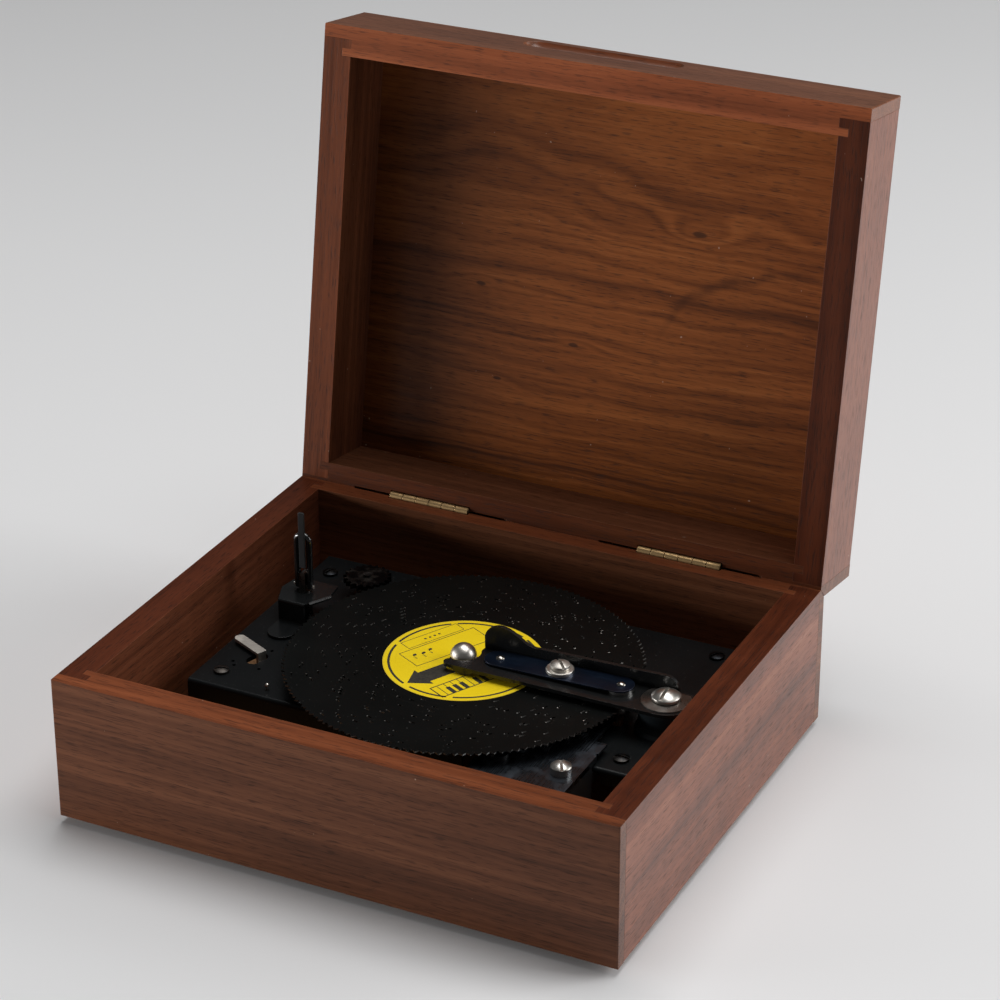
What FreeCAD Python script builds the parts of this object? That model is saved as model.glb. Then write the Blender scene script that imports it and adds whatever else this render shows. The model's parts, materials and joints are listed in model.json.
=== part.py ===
import FreeCAD, Part
import math
import os

os.makedirs("parts", exist_ok=True)
V = FreeCAD.Vector

# ---- case, millimetres ----
case_w = 190.0
case_d = 160.0
wall = 10.0
foot_h = 2.5
base_h = 48.5
lid_h = 27.0
lid_open = 99.0
lip = 4.4
tongue_t = 2.6
tongue_l = 3.2
bevel_run = 3.4
bevel_drop = 4.3
base_panel_t = 4.0
base_panel_up = 3.0
lid_panel_t = 3.2
lid_panel_edge = 5.0
panel_groove = 3.0
ease_r = 0.5
foot_r = 6.0
foot_in = 9.0

# ---- finger groove in the lid's front board ----
groove_r = 5.2
groove_up = 18.5
groove_out = 2.2
groove_x0 = -26.6
groove_x1 = 20.0

# ---- hinges ----
hinge_mid = 45.7
hinge_len = 29.5
knuckles = 6
knuckle_gap = 0.12
barrel_r = 1.5
pin_r = 0.72
pin_play = 0.06
leaf_t = 0.8
leaf_depth = 7.8
kerf_t = 0.9
kerf_depth = 8.4
cutter_r = 25.0
kerf_run = 20.4

# ---- frame: origin under the middle of the open box ----
rim_z = foot_h + base_h
hinge_y = case_d - bevel_run
swing = math.radians(lid_open)
open_depth = hinge_y - hinge_y * math.cos(swing) + lid_h * math.sin(swing)
front_y = -open_depth / 2.0
half_w = case_w / 2.0

# ---- movement ----
spin_x = 5.0
spin_y = front_y + 81.0
bed_top = foot_h + 32.0
bed_t = 1.5
bed_bot = bed_top - bed_t
plate_z = foot_h + base_panel_up + base_panel_t
plate_t = 1.5
plate_top = plate_z + plate_t
disc_r = 57.15
disc_root = 56.0
disc_pitch = 56.6
disc_teeth = 150
disc_t = 0.5
disc_z = bed_top + 6.5
disc_top = disc_z + disc_t
prong_l = 0.62
prong_share = 20  # of 97
prong_gap = 3
label_r = 25.5
label_t = 0.1
spindle_r = 4.3
web_z = bed_top + 8.8
web_t = 1.2
web_top = web_z + web_t
star_r = 4.2
star_in = 2.5
star_points = 8
star_count = 30
star_pitch = 0.92
star_first = 27.5
star_z = bed_top + 1.9
comb_top = bed_top + 2.6
barrel_u = -66.3
barrel_v = 16.5
m_main = 0.7
z_barrel = 46
z_drive = 20
z_sprocket = 20
z_mid = 14
m_mid = 0.6
z_mid_wheel = 40
z_third = 14
z_worm_wheel = 30
worm_pitch_r = 1.6
worm_z = foot_h + 19.8
pivot_u = 69.0
post_r = 4.0
winding_r = 2.5
drive_r = 2.0
pivot_r = 0.75
bush_play = 0.06
screw_shank = 1.5
comb_left = 26.0
comb_right = 58.5
comb_front = -57.0
comb_root = -27.0
tooth_gap = 0.26
pivot_play = 0.05
sky = 90.0


def box(x0, x1, y0, y1, z0, z1):
    return Part.makeBox(x1 - x0, y1 - y0, z1 - z0, V(x0, y0, z0))


def cyl(r, z0, z1, x=0.0, y=0.0):
    return Part.makeCylinder(r, z1 - z0, V(x, y, z0))


def xcyl(r, x0, x1, y, z):
    return Part.makeCylinder(r, x1 - x0, V(x0, y, z), V(1, 0, 0))


def at(u, v, z=0.0):
    return V(spin_x + u, spin_y + v, z)


def mbox(u0, u1, v0, v1, z0, z1):
    return box(spin_x + u0, spin_x + u1, spin_y + v0, spin_y + v1, z0, z1)


def mcyl(r, z0, z1, u, v):
    return Part.makeCylinder(r, z1 - z0, at(u, v, z0))


def prism(points, z0, z1):
    pts = [at(p[0], p[1], z0) for p in points]
    face = Part.Face(Part.makePolygon(pts + [pts[0]]))
    return face.extrude(V(0, 0, z1 - z0))


def revolve(profile, u=0.0, v=0.0):
    pts = [V(r, 0, z) for r, z in profile]
    face = Part.Face(Part.makePolygon(pts + [pts[0]]))
    solid = face.revolve(V(0, 0, 0), V(0, 0, 1), 360)
    solid.translate(at(u, v, 0))
    return solid


def fillet_where(shape, r, test):
    edges = [e for e in shape.Edges if test(e.CenterOfMass, e)]
    return shape.makeFillet(r, edges) if edges else shape


def slot_shape(u0, v0, u1, v1, r, z0, z1):
    a = math.atan2(v1 - v0, u1 - u0)
    n = V(-math.sin(a) * r, math.cos(a) * r, 0)
    p = at(u0, v0, z0)
    q = at(u1, v1, z0)
    d = V(math.cos(a) * r, math.sin(a) * r, 0)
    edges = [Part.makeLine(p - n, q - n)]
    edges.append(Part.Arc(q - n, q + d, q + n).toShape())
    edges.append(Part.makeLine(q + n, p + n))
    edges.append(Part.Arc(p + n, p - d, p - n).toShape())
    return Part.Face(Part.Wire(edges)).extrude(V(0, 0, z1 - z0))


def drilled(shape, r, *spots):
    for u, v in spots:
        shape = shape.cut(mcyl(r, 0, sky, u, v))
    return shape


def save(node, shape):
    shape.exportStep("parts/" + node + ".step")


def whole(shape):
    return shape.Solids[0] if len(shape.Solids) == 1 else shape


# ---- boards with lock-rabbet corners ----
def long_board(y_out, inward, z0, z1):
    ya, yb = sorted((y_out, y_out + inward * wall))
    board = box(-half_w, half_w, ya, yb, z0, z1)
    for s in (-1, 1):
        for x_in, d0, d1 in ((wall, lip, wall - tongue_t), (wall - tongue_l, wall - tongue_t, wall)):
            xa, xb = sorted((s * half_w, s * (half_w - x_in)))
            yc, yd = sorted((y_out + inward * d0, y_out + inward * d1))
            board = board.cut(box(xa, xb, yc, yd, z0, z1))
    return board


def side_board(s, z0, z1):
    xa, xb = sorted((s * half_w, s * (half_w - wall)))
    board = box(xa, xb, front_y + lip, front_y + case_d - lip, z0, z1)
    xc, xd = sorted((s * (half_w - wall + tongue_l), s * (half_w - wall)))
    for y0, y1 in ((wall - tongue_t, wall), (case_d - wall, case_d - wall + tongue_t)):
        board = board.cut(box(xc, xd, front_y + y0, front_y + y1, z0, z1))
    return board


def eased(board, z_end):
    def outer(c, e):
        on_side = abs(abs(c.x) - half_w) < 0.01
        on_end = min(abs(c.y - front_y), abs(c.y - front_y - case_d)) < 0.01
        level = abs(c.z - z_end) < 0.01
        return e.Length > 20 and ((on_side and on_end) or (level and (on_side or on_end)))
    return fillet_where(board, ease_r, outer)


def wedge(up):
    y0 = front_y + hinge_y
    y1 = front_y + case_d + 0.1
    rise = bevel_drop * (bevel_run + 0.1) / bevel_run
    pts = [V(-half_w - 1, y0, rim_z), V(-half_w - 1, y1, rim_z), V(-half_w - 1, y1, rim_z + up * rise)]
    return Part.Face(Part.makePolygon(pts + [pts[0]])).extrude(V(case_w + 2, 0, 0))


def kerf(xm, up):
    y = front_y + hinge_y
    c = math.sqrt(cutter_r ** 2 - (cutter_r - kerf_depth) ** 2)
    h = kerf_run / 2.0
    a = math.acos((cutter_r - kerf_depth) / cutter_r) / 2.0
    mx = cutter_r * math.sin(a)
    mz = cutter_r * math.cos(a) - (cutter_r - kerf_depth)

    def p(x, z):
        return V(xm + x, y - kerf_t / 2, rim_z + up * z)
    edges = [Part.makeLine(p(-h - c, 0), p(h + c, 0))]
    edges.append(Part.Arc(p(h + c, 0), p(h + mx, mz), p(h, kerf_depth)).toShape())
    edges.append(Part.makeLine(p(h, kerf_depth), p(-h, kerf_depth)))
    edges.append(Part.Arc(p(-h, kerf_depth), p(-h - mx, mz), p(-h - c, 0)).toShape())
    slab = Part.Face(Part.Wire(edges)).extrude(V(0, kerf_t, 0))
    half = hinge_len / 2.0 + 0.3
    return slab.fuse(xcyl(barrel_r + 0.3, xm - half, xm + half, y, rim_z))


def hinge_parts(xm, up, own):
    y = front_y + hinge_y
    step = hinge_len / knuckles
    x0 = xm - hinge_len / 2.0
    za, zb = sorted((rim_z + up * leaf_depth, rim_z + up * (barrel_r + 0.4)))
    body = box(x0, x0 + hinge_len, y - leaf_t / 2, y + leaf_t / 2, za, zb)
    zc, zd = sorted((rim_z + up * 0.9, rim_z + up * (barrel_r + 0.5)))
    for k in range(knuckles):
        if k % 2 == own:
            a = x0 + k * step + knuckle_gap
            b = x0 + (k + 1) * step - knuckle_gap
            body = body.fuse(box(a, b, y - leaf_t / 2, y + leaf_t / 2, zc, zd))
            body = body.fuse(xcyl(barrel_r, a, b, y, rim_z))
    body = body.cut(xcyl(pin_r + pin_play, x0 - 1, x0 + hinge_len + 1, y, rim_z))
    return body.removeSplitter()


def opened(shape):
    out = shape.copy()
    out.rotate(V(0, front_y + hinge_y, rim_z), V(1, 0, 0), -lid_open)
    return out


in_x = half_w - wall + panel_groove
floor_panel = box(-in_x, in_x, front_y + wall - panel_groove, front_y + case_d - wall + panel_groove,
                  foot_h + base_panel_up, plate_z)
kerfs_down = kerf(-hinge_mid, -1).fuse(kerf(hinge_mid, -1))
kerfs_up = kerf(-hinge_mid, 1).fuse(kerf(hinge_mid, 1))

front = eased(long_board(front_y, 1, foot_h, rim_z), foot_h).cut(floor_panel)
back = eased(long_board(front_y + case_d, -1, foot_h, rim_z), foot_h).cut(floor_panel)
back = back.cut(wedge(-1)).cut(kerfs_down)
save("base_front_board", whole(front))
save("base_back_board", whole(back))
for s, name in ((-1, "left"), (1, "right")):
    side = eased(side_board(s, foot_h, rim_z), foot_h).cut(floor_panel)
    save("base_" + name + "_board", whole(side))

feet = []
for sx in (-1, 1):
    for fy in (front_y + 11, front_y + case_d - 11):
        f = cyl(foot_r, 0, foot_h, sx * (half_w - foot_in), fy)
        feet.append(fillet_where(f, 0.8, lambda c, e: c.z < 0.1))
save("feet", Part.makeCompound(feet))

# ---- lid ----
lid_top = rim_z + lid_h
edge_x = half_w - lid_panel_edge
lid_panel = box(-edge_x, edge_x, front_y + lid_panel_edge, front_y + case_d - lid_panel_edge,
                lid_top - lid_panel_t, lid_top)
lid_front = eased(long_board(front_y, 1, rim_z, lid_top), lid_top).cut(lid_panel)
groove_y = front_y - groove_out
groove_z = rim_z + groove_up
cutter = xcyl(groove_r, groove_x0, groove_x1, groove_y, groove_z)
for xg in (groove_x0, groove_x1):
    cutter = cutter.fuse(Part.makeSphere(groove_r, V(xg, groove_y, groove_z)))
lid_front = lid_front.cut(cutter)
lid_back = eased(long_board(front_y + case_d, -1, rim_z, lid_top), lid_top).cut(lid_panel)
lid_back = lid_back.cut(wedge(1)).cut(kerfs_up)
save("lid_front_board", whole(opened(lid_front)))
save("lid_back_board", whole(opened(lid_back)))
for s, name in ((-1, "left"), (1, "right")):
    side = eased(side_board(s, rim_z, lid_top), lid_top).cut(lid_panel)
    save("lid_" + name + "_board", whole(opened(side)))
save("lid_top_panel", opened(lid_panel))

fixed_leaves = [hinge_parts(s * hinge_mid, -1, 0) for s in (-1, 1)]
lid_leaves = [opened(hinge_parts(s * hinge_mid, 1, 1)) for s in (-1, 1)]
pins = []
for s in (-1, 1):
    xa = s * hinge_mid - hinge_len / 2.0
    pins.append(xcyl(pin_r, xa + 0.1, xa + hinge_len - 0.1, front_y + hinge_y, rim_z))
save("hinge_base_leaves", Part.makeCompound(fixed_leaves))
save("hinge_lid_leaves", Part.makeCompound(lid_leaves))
save("hinge_pins", Part.makeCompound(pins))


# ---- gear outlines ----
def gear_points(u, v, teeth, module, phase, slack=0.9):
    r = teeth * module / 2.0
    rb = r * math.cos(math.radians(20))
    ang = math.radians(20)
    half = math.pi / (2 * teeth) * slack + math.tan(ang) - ang
    rows = []
    for radius in (r - 1.1 * module, r, r + 0.85 * module):
        q = math.acos(min(1.0, rb / max(radius, rb)))
        rows.append((radius, half - (math.tan(q) - q)))
    pts = []
    for k in range(teeth):
        mid = phase + 2 * math.pi * k / teeth
        for radius, w in rows + rows[::-1]:
            side = -1 if len(pts) % 6 < 3 else 1
            pts.append((u + radius * math.cos(mid + side * w), v + radius * math.sin(mid + side * w)))
    return pts


def meshed(phase_a, teeth_a, teeth_b, psi):
    pitch = 2 * math.pi / teeth_a
    off = (phase_a - psi + pitch / 2) % pitch - pitch / 2
    return psi + math.pi - off * teeth_a / teeth_b + math.pi / teeth_b


def polar(u, v, r, a):
    return u + r * math.cos(a), v + r * math.sin(a)


# positions of the arbors
sprocket_r = disc_pitch * z_sprocket / disc_teeth
drive_gap = (z_barrel + z_drive) * m_main / 2.0
reach_b = math.hypot(barrel_u, barrel_v)
reach_s = disc_pitch + sprocket_r
turn = math.acos((reach_b ** 2 + reach_s ** 2 - drive_gap ** 2) / (2 * reach_b * reach_s))
sprocket_a = math.atan2(barrel_v, barrel_u) - turn
drive_u, drive_v = polar(0, 0, reach_s, sprocket_a)
mid_gap = (z_barrel + z_mid) * m_main / 2.0
mid_u, mid_v = polar(barrel_u, barrel_v, mid_gap, math.radians(-40))
third_gap = (z_mid_wheel + z_third) * m_mid / 2.0
third_u, third_v = polar(mid_u, mid_v, third_gap, math.radians(-80))
worm_wheel_r = z_worm_wheel * m_mid / 2.0
worm_v = third_v - worm_wheel_r - worm_pitch_r

ps = math.atan2(drive_v - barrel_v, drive_u - barrel_u)
phase_barrel = ps
phase_drive = meshed(phase_barrel, z_barrel, z_drive, ps)
pm = math.atan2(mid_v - barrel_v, mid_u - barrel_u)
phase_mid = meshed(phase_barrel, z_barrel, z_mid, pm)
pt = math.atan2(third_v - mid_v, third_u - mid_u)
phase_third = meshed(pt, z_mid_wheel, z_third, pt)

# ---- bedplate with its arbor holes ----
bed_left = -78.5
bed_right = 77.0
bed_front = -37.5
bed_step = -30.4
bed_back = 55.0
step_u = 18.0
bed_screw_at = [(-71.2, -28.8), (-72.0, 44.0), (-30.0, -30.0), (-30.0, 46.0), (64.4, -22.6), (66.0, 48.0)]
star_window = (25.6, 56.2)
window_v = 5.0
pivot_deep = 1.0
stem_r = 2.5
pinhole_r = 0.6
hook_u = -52.5
hook_v = -32.4
hook_r = 0.5
bracket_us = (30.0, 51.5)
bracket_v = 7.1
support_us = (34.0, 52.0)
support_v = -12.5
support_r = 0.9
lever_pu = -52.0
lever_pv = -21.2
leg_u = -64.6
leg_v = -15.2

outline = [(bed_left, bed_front), (step_u, bed_front), (step_u, bed_step), (bed_right, bed_step),
           (bed_right, bed_back), (bed_left, bed_back)]
bed = prism(outline, bed_bot, bed_top)
bed = bed.fuse(mbox(bed_left, step_u, bed_front, bed_front + bed_t, bed_top - 7, bed_top))
bed = bed.fuse(mbox(comb_right + 2.5, bed_right, bed_step, bed_step + bed_t, bed_top - 5, bed_top))
bed = bed.removeSplitter()


def bed_round(c, e):
    front_edge = abs(c.z - bed_top) < 0.01 and e.Length > 30
    on_front = abs(c.y - spin_y - bed_front) < 0.01 or abs(c.y - spin_y - bed_step) < 0.01
    return front_edge and on_front


bed = fillet_where(bed, 1.3, bed_round)
bed = bed.cut(mbox(star_window[0], star_window[1], -window_v, window_v, bed_bot - 1, bed_top + 1))
bed = drilled(bed, winding_r + bush_play, (barrel_u, barrel_v))
bed = drilled(bed, drive_r + pivot_play, (drive_u, drive_v))
for u, v in ((mid_u, mid_v), (third_u, third_v)):
    bed = bed.cut(mcyl(pivot_r + pivot_play, bed_bot - 1, bed_bot + pivot_deep, u, v))
bed = drilled(bed, stem_r, (0, 0))
bed = drilled(bed, post_r, (pivot_u, 0))
bed = drilled(bed, screw_shank, *bed_screw_at)
bed = drilled(bed, pinhole_r, (-71.3, -21.5), (-69.7, -23.6), (-61.3, -22.4), (-63.4, -10.5))
slot_a = math.atan2(leg_v - lever_pv, leg_u - lever_pu)
slot_r = math.hypot(leg_u - lever_pu, leg_v - lever_pv)
far_u, far_v = polar(lever_pu, lever_pv, slot_r, slot_a + math.radians(14))
bed = bed.cut(slot_shape(leg_u, leg_v, far_u, far_v, 2.3, bed_bot - 1, bed_top + 1))
bed = drilled(bed, support_r, *[(u, bracket_v) for u in bracket_us], *[(u, support_v) for u in support_us])
bed = drilled(bed, 1.2, (lever_pu, lever_pv))
bed = drilled(bed, hook_r, (hook_u, hook_v))
save("bedplate", whole(bed))

# ---- pillars, lower plate and their screws ----
lower = mbox(-85, -24, -36, 51, plate_z, plate_top)
lower = drilled(lower, 1.55, (barrel_u, barrel_v))
lower = drilled(lower, 1.05, (drive_u, drive_v))
lower = drilled(lower, pivot_r + pivot_play, (mid_u, mid_v), (third_u, third_v))
lower = drilled(lower, screw_shank, *bed_screw_at[:2])
save("lower_plate", whole(lower))

pillar_r = 2.8
tapped = 7.0
pillars = []
for k, (u, v) in enumerate(bed_screw_at):
    z0 = plate_top if k < 4 else plate_z
    p = mcyl(pillar_r, z0, bed_bot, u, v)
    p = p.cut(mcyl(screw_shank, bed_bot - tapped, bed_bot, u, v))
    if k not in (2, 3):
        p = p.cut(mcyl(screw_shank, z0, z0 + tapped, u, v))
    pillars.append(p)
save("movement_pillars", Part.makeCompound(pillars))


def crown_arc(r, z, dome):
    ball = (r * r + dome * dome) / (2 * dome)
    half = math.asin(r / ball) / 2
    mid = V(ball * math.sin(half), 0, z + dome - ball + ball * math.cos(half))
    return Part.Arc(V(r, 0, z), mid, V(0, 0, z + dome)).toShape()


def turned(profile, dome):
    r, z = profile[-1]
    rim = [V(p, 0, q) for p, q in [(0, z + dome), (0, profile[0][1])] + profile]
    face = Part.Face(Part.Wire(Part.makePolygon(rim).Edges + [crown_arc(r, z, dome)]))
    return face.revolve(V(0, 0, 0), V(0, 0, 1), 360)


def slotted(r, h, shank_r, shank_l, dome, slot_w, slot_d):
    body = turned([(shank_r, -shank_l), (shank_r, 0), (r, 0), (r, h)], dome)
    body = body.cut(box(-r - 1, r + 1, -slot_w / 2, slot_w / 2, h + dome - slot_d, h + dome + 1))
    return body.removeSplitter()


def placed(shape, u, v, z, turn_deg=0.0, flip=False):
    s = shape.copy()
    if flip:
        s.rotate(V(0, 0, 0), V(1, 0, 0), 180)
    s.rotate(V(0, 0, 0), V(0, 0, 1), turn_deg)
    s.translate(at(u, v, z))
    return s


bed_screw = slotted(2.5, 0.8, screw_shank, 6.0, 0.6, 0.7, 0.7)
save("bed_screws", Part.makeCompound([placed(bed_screw, u, v, bed_top, 25 + 40 * k)
                                      for k, (u, v) in enumerate(bed_screw_at)]))
case_screw = slotted(3.2, 1.0, screw_shank, base_panel_t + 6.0, 0.8, 0.8, 0.8)
feet_at = [bed_screw_at[0], bed_screw_at[1], bed_screw_at[4], bed_screw_at[5]]
save("base_bottom_panel", drilled(floor_panel, screw_shank, *feet_at))
save("case_screws", Part.makeCompound([placed(case_screw, u, v, foot_h + base_panel_up, 30 * k, True)
                                       for k, (u, v) in enumerate(feet_at)]))

# ---- comb, its base and screws ----
comb_t = 2.0
tooth_t = 0.8
comb_screw_r = 2.0
tip_v = -star_r - 0.25
comb = mbox(comb_left, comb_right, comb_front, comb_root, comb_top - comb_t, comb_top)
comb = comb.fuse(mbox(comb_left, comb_right, comb_root - 0.5, tip_v, comb_top - tooth_t, comb_top))
comb = comb.removeSplitter()
for k in range(star_count + 1):
    u = star_first + (k - 0.5) * star_pitch
    comb = comb.cut(mbox(u - tooth_gap / 2, u + tooth_gap / 2, comb_root, 0, comb_top - 3, comb_top + 1))
first = star_first - star_pitch / 2 - tooth_gap / 2
comb = comb.cut(mbox(comb_left - 1, first, -14, 0, comb_top - 3, comb_top + 1))
last = star_first + (star_count - 0.5) * star_pitch + tooth_gap / 2
comb = comb.cut(mbox(last, comb_right + 1, -20, 0, comb_top - 3, comb_top + 1))
comb = comb.cut(mbox(comb_right - 0.5, comb_right + 1, comb_root - 0.6, comb_root + 0.6,
                     comb_top - 3, comb_top + 1))
comb_holes = ((52.8, -40.7), (32.0, -40.7))
save("comb", whole(drilled(comb, comb_screw_r, *comb_holes)))

base = mbox(comb_left, comb_right, comb_front, -31.0, comb_top - 5.5, comb_top - comb_t)
base = base.fuse(mbox(comb_left, comb_right, -34.0, -14.0 + 3.0, bed_bot - 4.0, bed_bot))
base = base.fuse(mbox(comb_left, comb_right, -34.0, -31.0, bed_bot - 4.0, comb_top - comb_t))
for u in (comb_left, comb_right - 2.5):
    rib = [at(u, comb_front + 3, comb_top - 5.5), at(u, -31.0, comb_top - 5.5), at(u, -31.0, bed_bot - 9.0),
           at(u, -37.0, bed_bot - 9.0)]
    base = base.fuse(Part.Face(Part.makePolygon(rib + [rib[0]])).extrude(V(2.5, 0, 0)))
base = base.removeSplitter()
base = drilled(base, comb_screw_r, *comb_holes)
base = drilled(base, support_r, *[(u, support_v) for u in support_us])
save("comb_base", whole(base))

tall = slotted(3.3, 2.2, comb_screw_r, 5.0, 1.3, 0.9, 1.4)
low = slotted(3.3, 1.5, comb_screw_r, 5.0, 0.6, 0.9, 0.9)
save("comb_screws", Part.makeCompound([placed(tall, 52.8, -40.7, comb_top, 119),
                                       placed(low, 32.0, -40.7, comb_top, 20)]))
small = slotted(1.6, 0.6, support_r, 3.4, 0.4, 0.5, 0.5)
support_screws = [placed(small, u, support_v, bed_top, 15 * k) for k, u in enumerate(support_us)]

# ---- star wheels on their axle ----
star_t = 0.5
stars = []
for k in range(star_count):
    pts = []
    for j in range(2 * star_points):
        r = star_r if j % 2 == 0 else star_in
        a = math.pi * (j + 1) / star_points
        x = spin_x + star_first + k * star_pitch - star_t / 2
        pts.append(V(x, spin_y + r * math.cos(a), star_z + r * math.sin(a)))
    wheel = Part.Face(Part.makePolygon(pts + [pts[0]])).extrude(V(star_t, 0, 0))
    stars.append(wheel.cut(xcyl(0.85, spin_x + 20, spin_x + 62, spin_y, star_z)))
save("star_wheels", Part.makeCompound(stars))
save("star_axle", xcyl(0.8, spin_x + 23.8, spin_x + 57.7, spin_y, star_z))

gantry = mbox(23.8, 57.7, 5.7, 8.7, bed_top, bed_top + 3.2)
for u0, u1 in ((23.8, 25.5), (56.0, 57.7)):
    gantry = gantry.fuse(mbox(u0, u1, -2.5, 8.7, bed_top, bed_top + 3.6))
gantry = gantry.cut(xcyl(0.8, spin_x + 20, spin_x + 62, spin_y, star_z))
gantry = drilled(gantry, support_r, *[(u, bracket_v) for u in bracket_us])
save("star_bracket", whole(gantry.removeSplitter()))
bracket_screw = slotted(1.4, 0.5, support_r, 6.0, 0.3, 0.5, 0.4)
for k, u in enumerate(bracket_us):
    support_screws.append(placed(bracket_screw, u, bracket_v, bed_top + 3.2, 50 * k))

# ---- disc, label and spindle ----
rim = []
for k in range(disc_teeth):
    a = sprocket_a + 2 * math.pi * k / disc_teeth
    rim.append(V(disc_root * math.cos(a), disc_root * math.sin(a), 0))
    a = a + math.pi / disc_teeth
    rim.append(V(disc_r * math.cos(a), disc_r * math.sin(a), 0))
wires = [Part.makePolygon(rim + [rim[0]])]
wires.append(Part.Wire(Part.makeCircle(spindle_r + 0.05)))
prongs = []
steps = 75
for k in range(star_count):
    r = star_first + k * star_pitch
    taken = -9
    for j in range(steps):
        deg = 360.0 * j / steps + 1.7 * (k % 3)
        chosen = (j * j * 7 + k * 53 + j * k * 3 + j * 29) % 97 < prong_share
        if chosen and j - taken > prong_gap:
            taken = j
            a0 = math.radians(deg)
            da = 1.5 / r
            cell = [(r - 0.28, a0), (r + 0.28, a0), (r + 0.28, a0 + da), (r - 0.28, a0 + da)]
            pts = [V(q * math.cos(t), q * math.sin(t), 0) for q, t in cell]
            wires.append(Part.makePolygon(pts + [pts[0]]))
            tip = Part.makeBox(0.56, 0.3, prong_l, V(r - 0.28, 0, -prong_l))
            tip.rotate(V(0, 0, 0), V(0, 0, 1), math.degrees(a0 + da) + 0.02)
            prongs.append(tip)
plate = Part.Face(wires, "Part::FaceMakerBullseye").extrude(V(0, 0, disc_t))
disc = plate.multiFuse(prongs)
disc.translate(at(0, 0, disc_z))
save("disc", whole(disc))

label = cyl(label_r, 0, label_t).cut(cyl(spindle_r + 0.4, -1, 1))
label.translate(at(0, 0, disc_top))
save("disc_label", label)

dome_r = 4.25
dome_h = 3.6
dome_z = foot_h + 41.0
stem = [(3.4, bed_bot - 1), (3.4, bed_bot), (2.5, bed_bot), (2.5, bed_top), (5.0, bed_top),
        (5.0, bed_top + 1.0), (4.0, bed_top + 1.6), (4.0, disc_z - 1.6), (8.0, disc_z - 1.0),
        (8.0, disc_z - 0.05), (spindle_r, disc_z - 0.05), (spindle_r, disc_top + 0.1), (2.8, disc_top + 0.6),
        (2.8, dome_z + 0.3), (dome_r, dome_z), (dome_r, dome_z + 0.3)]
spindle = turned(stem, dome_h)
spindle.translate(at(0, 0, 0))
save("spindle", whole(spindle))

# ---- pressure arm, post and pivot ----
arm_front = -9.0
arm_back = 6.3
arm_r = 9.0
notch_r = 5.6
fence_u = 4.9
back_u = pivot_u + math.sqrt(arm_r ** 2 - arm_back ** 2)


def pt2(u, v):
    return at(u, v, web_z)


n0 = polar(0, 0, notch_r, math.radians(33))
n1 = polar(0, 0, notch_r, math.radians(-30))
n2 = polar(0, 0, notch_r, math.radians(-105))
edges = [Part.makeLine(pt2(n2[0], arm_front), pt2(pivot_u, arm_front))]
edges.append(Part.Arc(pt2(pivot_u, arm_front), pt2(pivot_u + arm_r, 0), pt2(back_u, arm_back)).toShape())
edges.append(Part.makeLine(pt2(back_u, arm_back), pt2(fence_u, arm_back)))
edges.append(Part.makeLine(pt2(fence_u, arm_back), pt2(*n0)))
edges.append(Part.Arc(pt2(*n0), pt2(*n1), pt2(*n2)).toShape())
mid_tip = (arm_front + n2[1]) / 2.0
edges.append(Part.Arc(pt2(*n2), pt2(n2[0] - 1.8, mid_tip), pt2(n2[0], arm_front)).toShape())
web = Part.Face(Part.Wire(edges)).extrude(V(0, 0, web_t))


def uz(u, z):
    return at(u, arm_back - web_t, z)


crest = Part.BSplineCurve()
crest.interpolate([uz(fence_u, foot_h + 45.0), uz(6.4, foot_h + 49.2), uz(10.3, foot_h + 50.8),
                   uz(14.5, foot_h + 49.8), uz(18.6, foot_h + 47.3), uz(24.0, foot_h + 46.2)])
fence = [crest.toShape()]
fence.append(Part.makeLine(uz(24.0, foot_h + 46.2), uz(66.5, foot_h + 47.4)))
fence.append(Part.Arc(uz(66.5, foot_h + 47.4), uz(69.7, foot_h + 46.1), uz(71.0, foot_h + 43.0)).toShape())
fence.append(Part.makeLine(uz(71.0, foot_h + 43.0), uz(71.0, web_z)))
fence.append(Part.makeLine(uz(71.0, web_z), uz(fence_u, web_z)))
fence.append(Part.makeLine(uz(fence_u, web_z), uz(fence_u, foot_h + 45.0)))
flange = Part.Face(Part.Wire(fence)).extrude(V(0, web_t, 0))
lug = [at(0.2, arm_front, web_z + 0.1), at(3.9, arm_front, disc_top + label_t + 0.2),
       at(7.6, arm_front, web_z + 0.1)]
lug_face = Part.Face(Part.Wire([Part.Arc(*lug).toShape(), Part.makeLine(lug[2], lug[0])]))
arm = web.fuse(flange).fuse(lug_face.extrude(V(0, 1.2, 0)))
screw_u = 33.3
arm = arm.fuse(mcyl(3.0, web_top - 0.1, web_top + 0.7, screw_u, 0))
arm = arm.removeSplitter()
arm = fillet_where(arm, 1.0, lambda c, e: abs(c.z - web_z) < 0.01 and abs(c.y - spin_y - arm_back) < 0.01
                   and e.Length > 40)
roller_at = ((27.5, 2.0), (41.5, 2.0), (49.5, 1.5))
for u, w in roller_at:
    arm = arm.cut(mbox(u - w - 0.4, u + w + 0.4, -1.7, 1.7, web_z - 1, web_top + 1))
pin_at = (12.8, 54.0)
rivet_r = 0.8
blade_screw_r = 1.4
arm = drilled(arm, rivet_r, *[(u, 0) for u in pin_at])
arm = drilled(arm, blade_screw_r, (screw_u, 0))
arm = drilled(arm, winding_r + bush_play, (pivot_u, 0))
save("pressure_arm", whole(arm))

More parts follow.
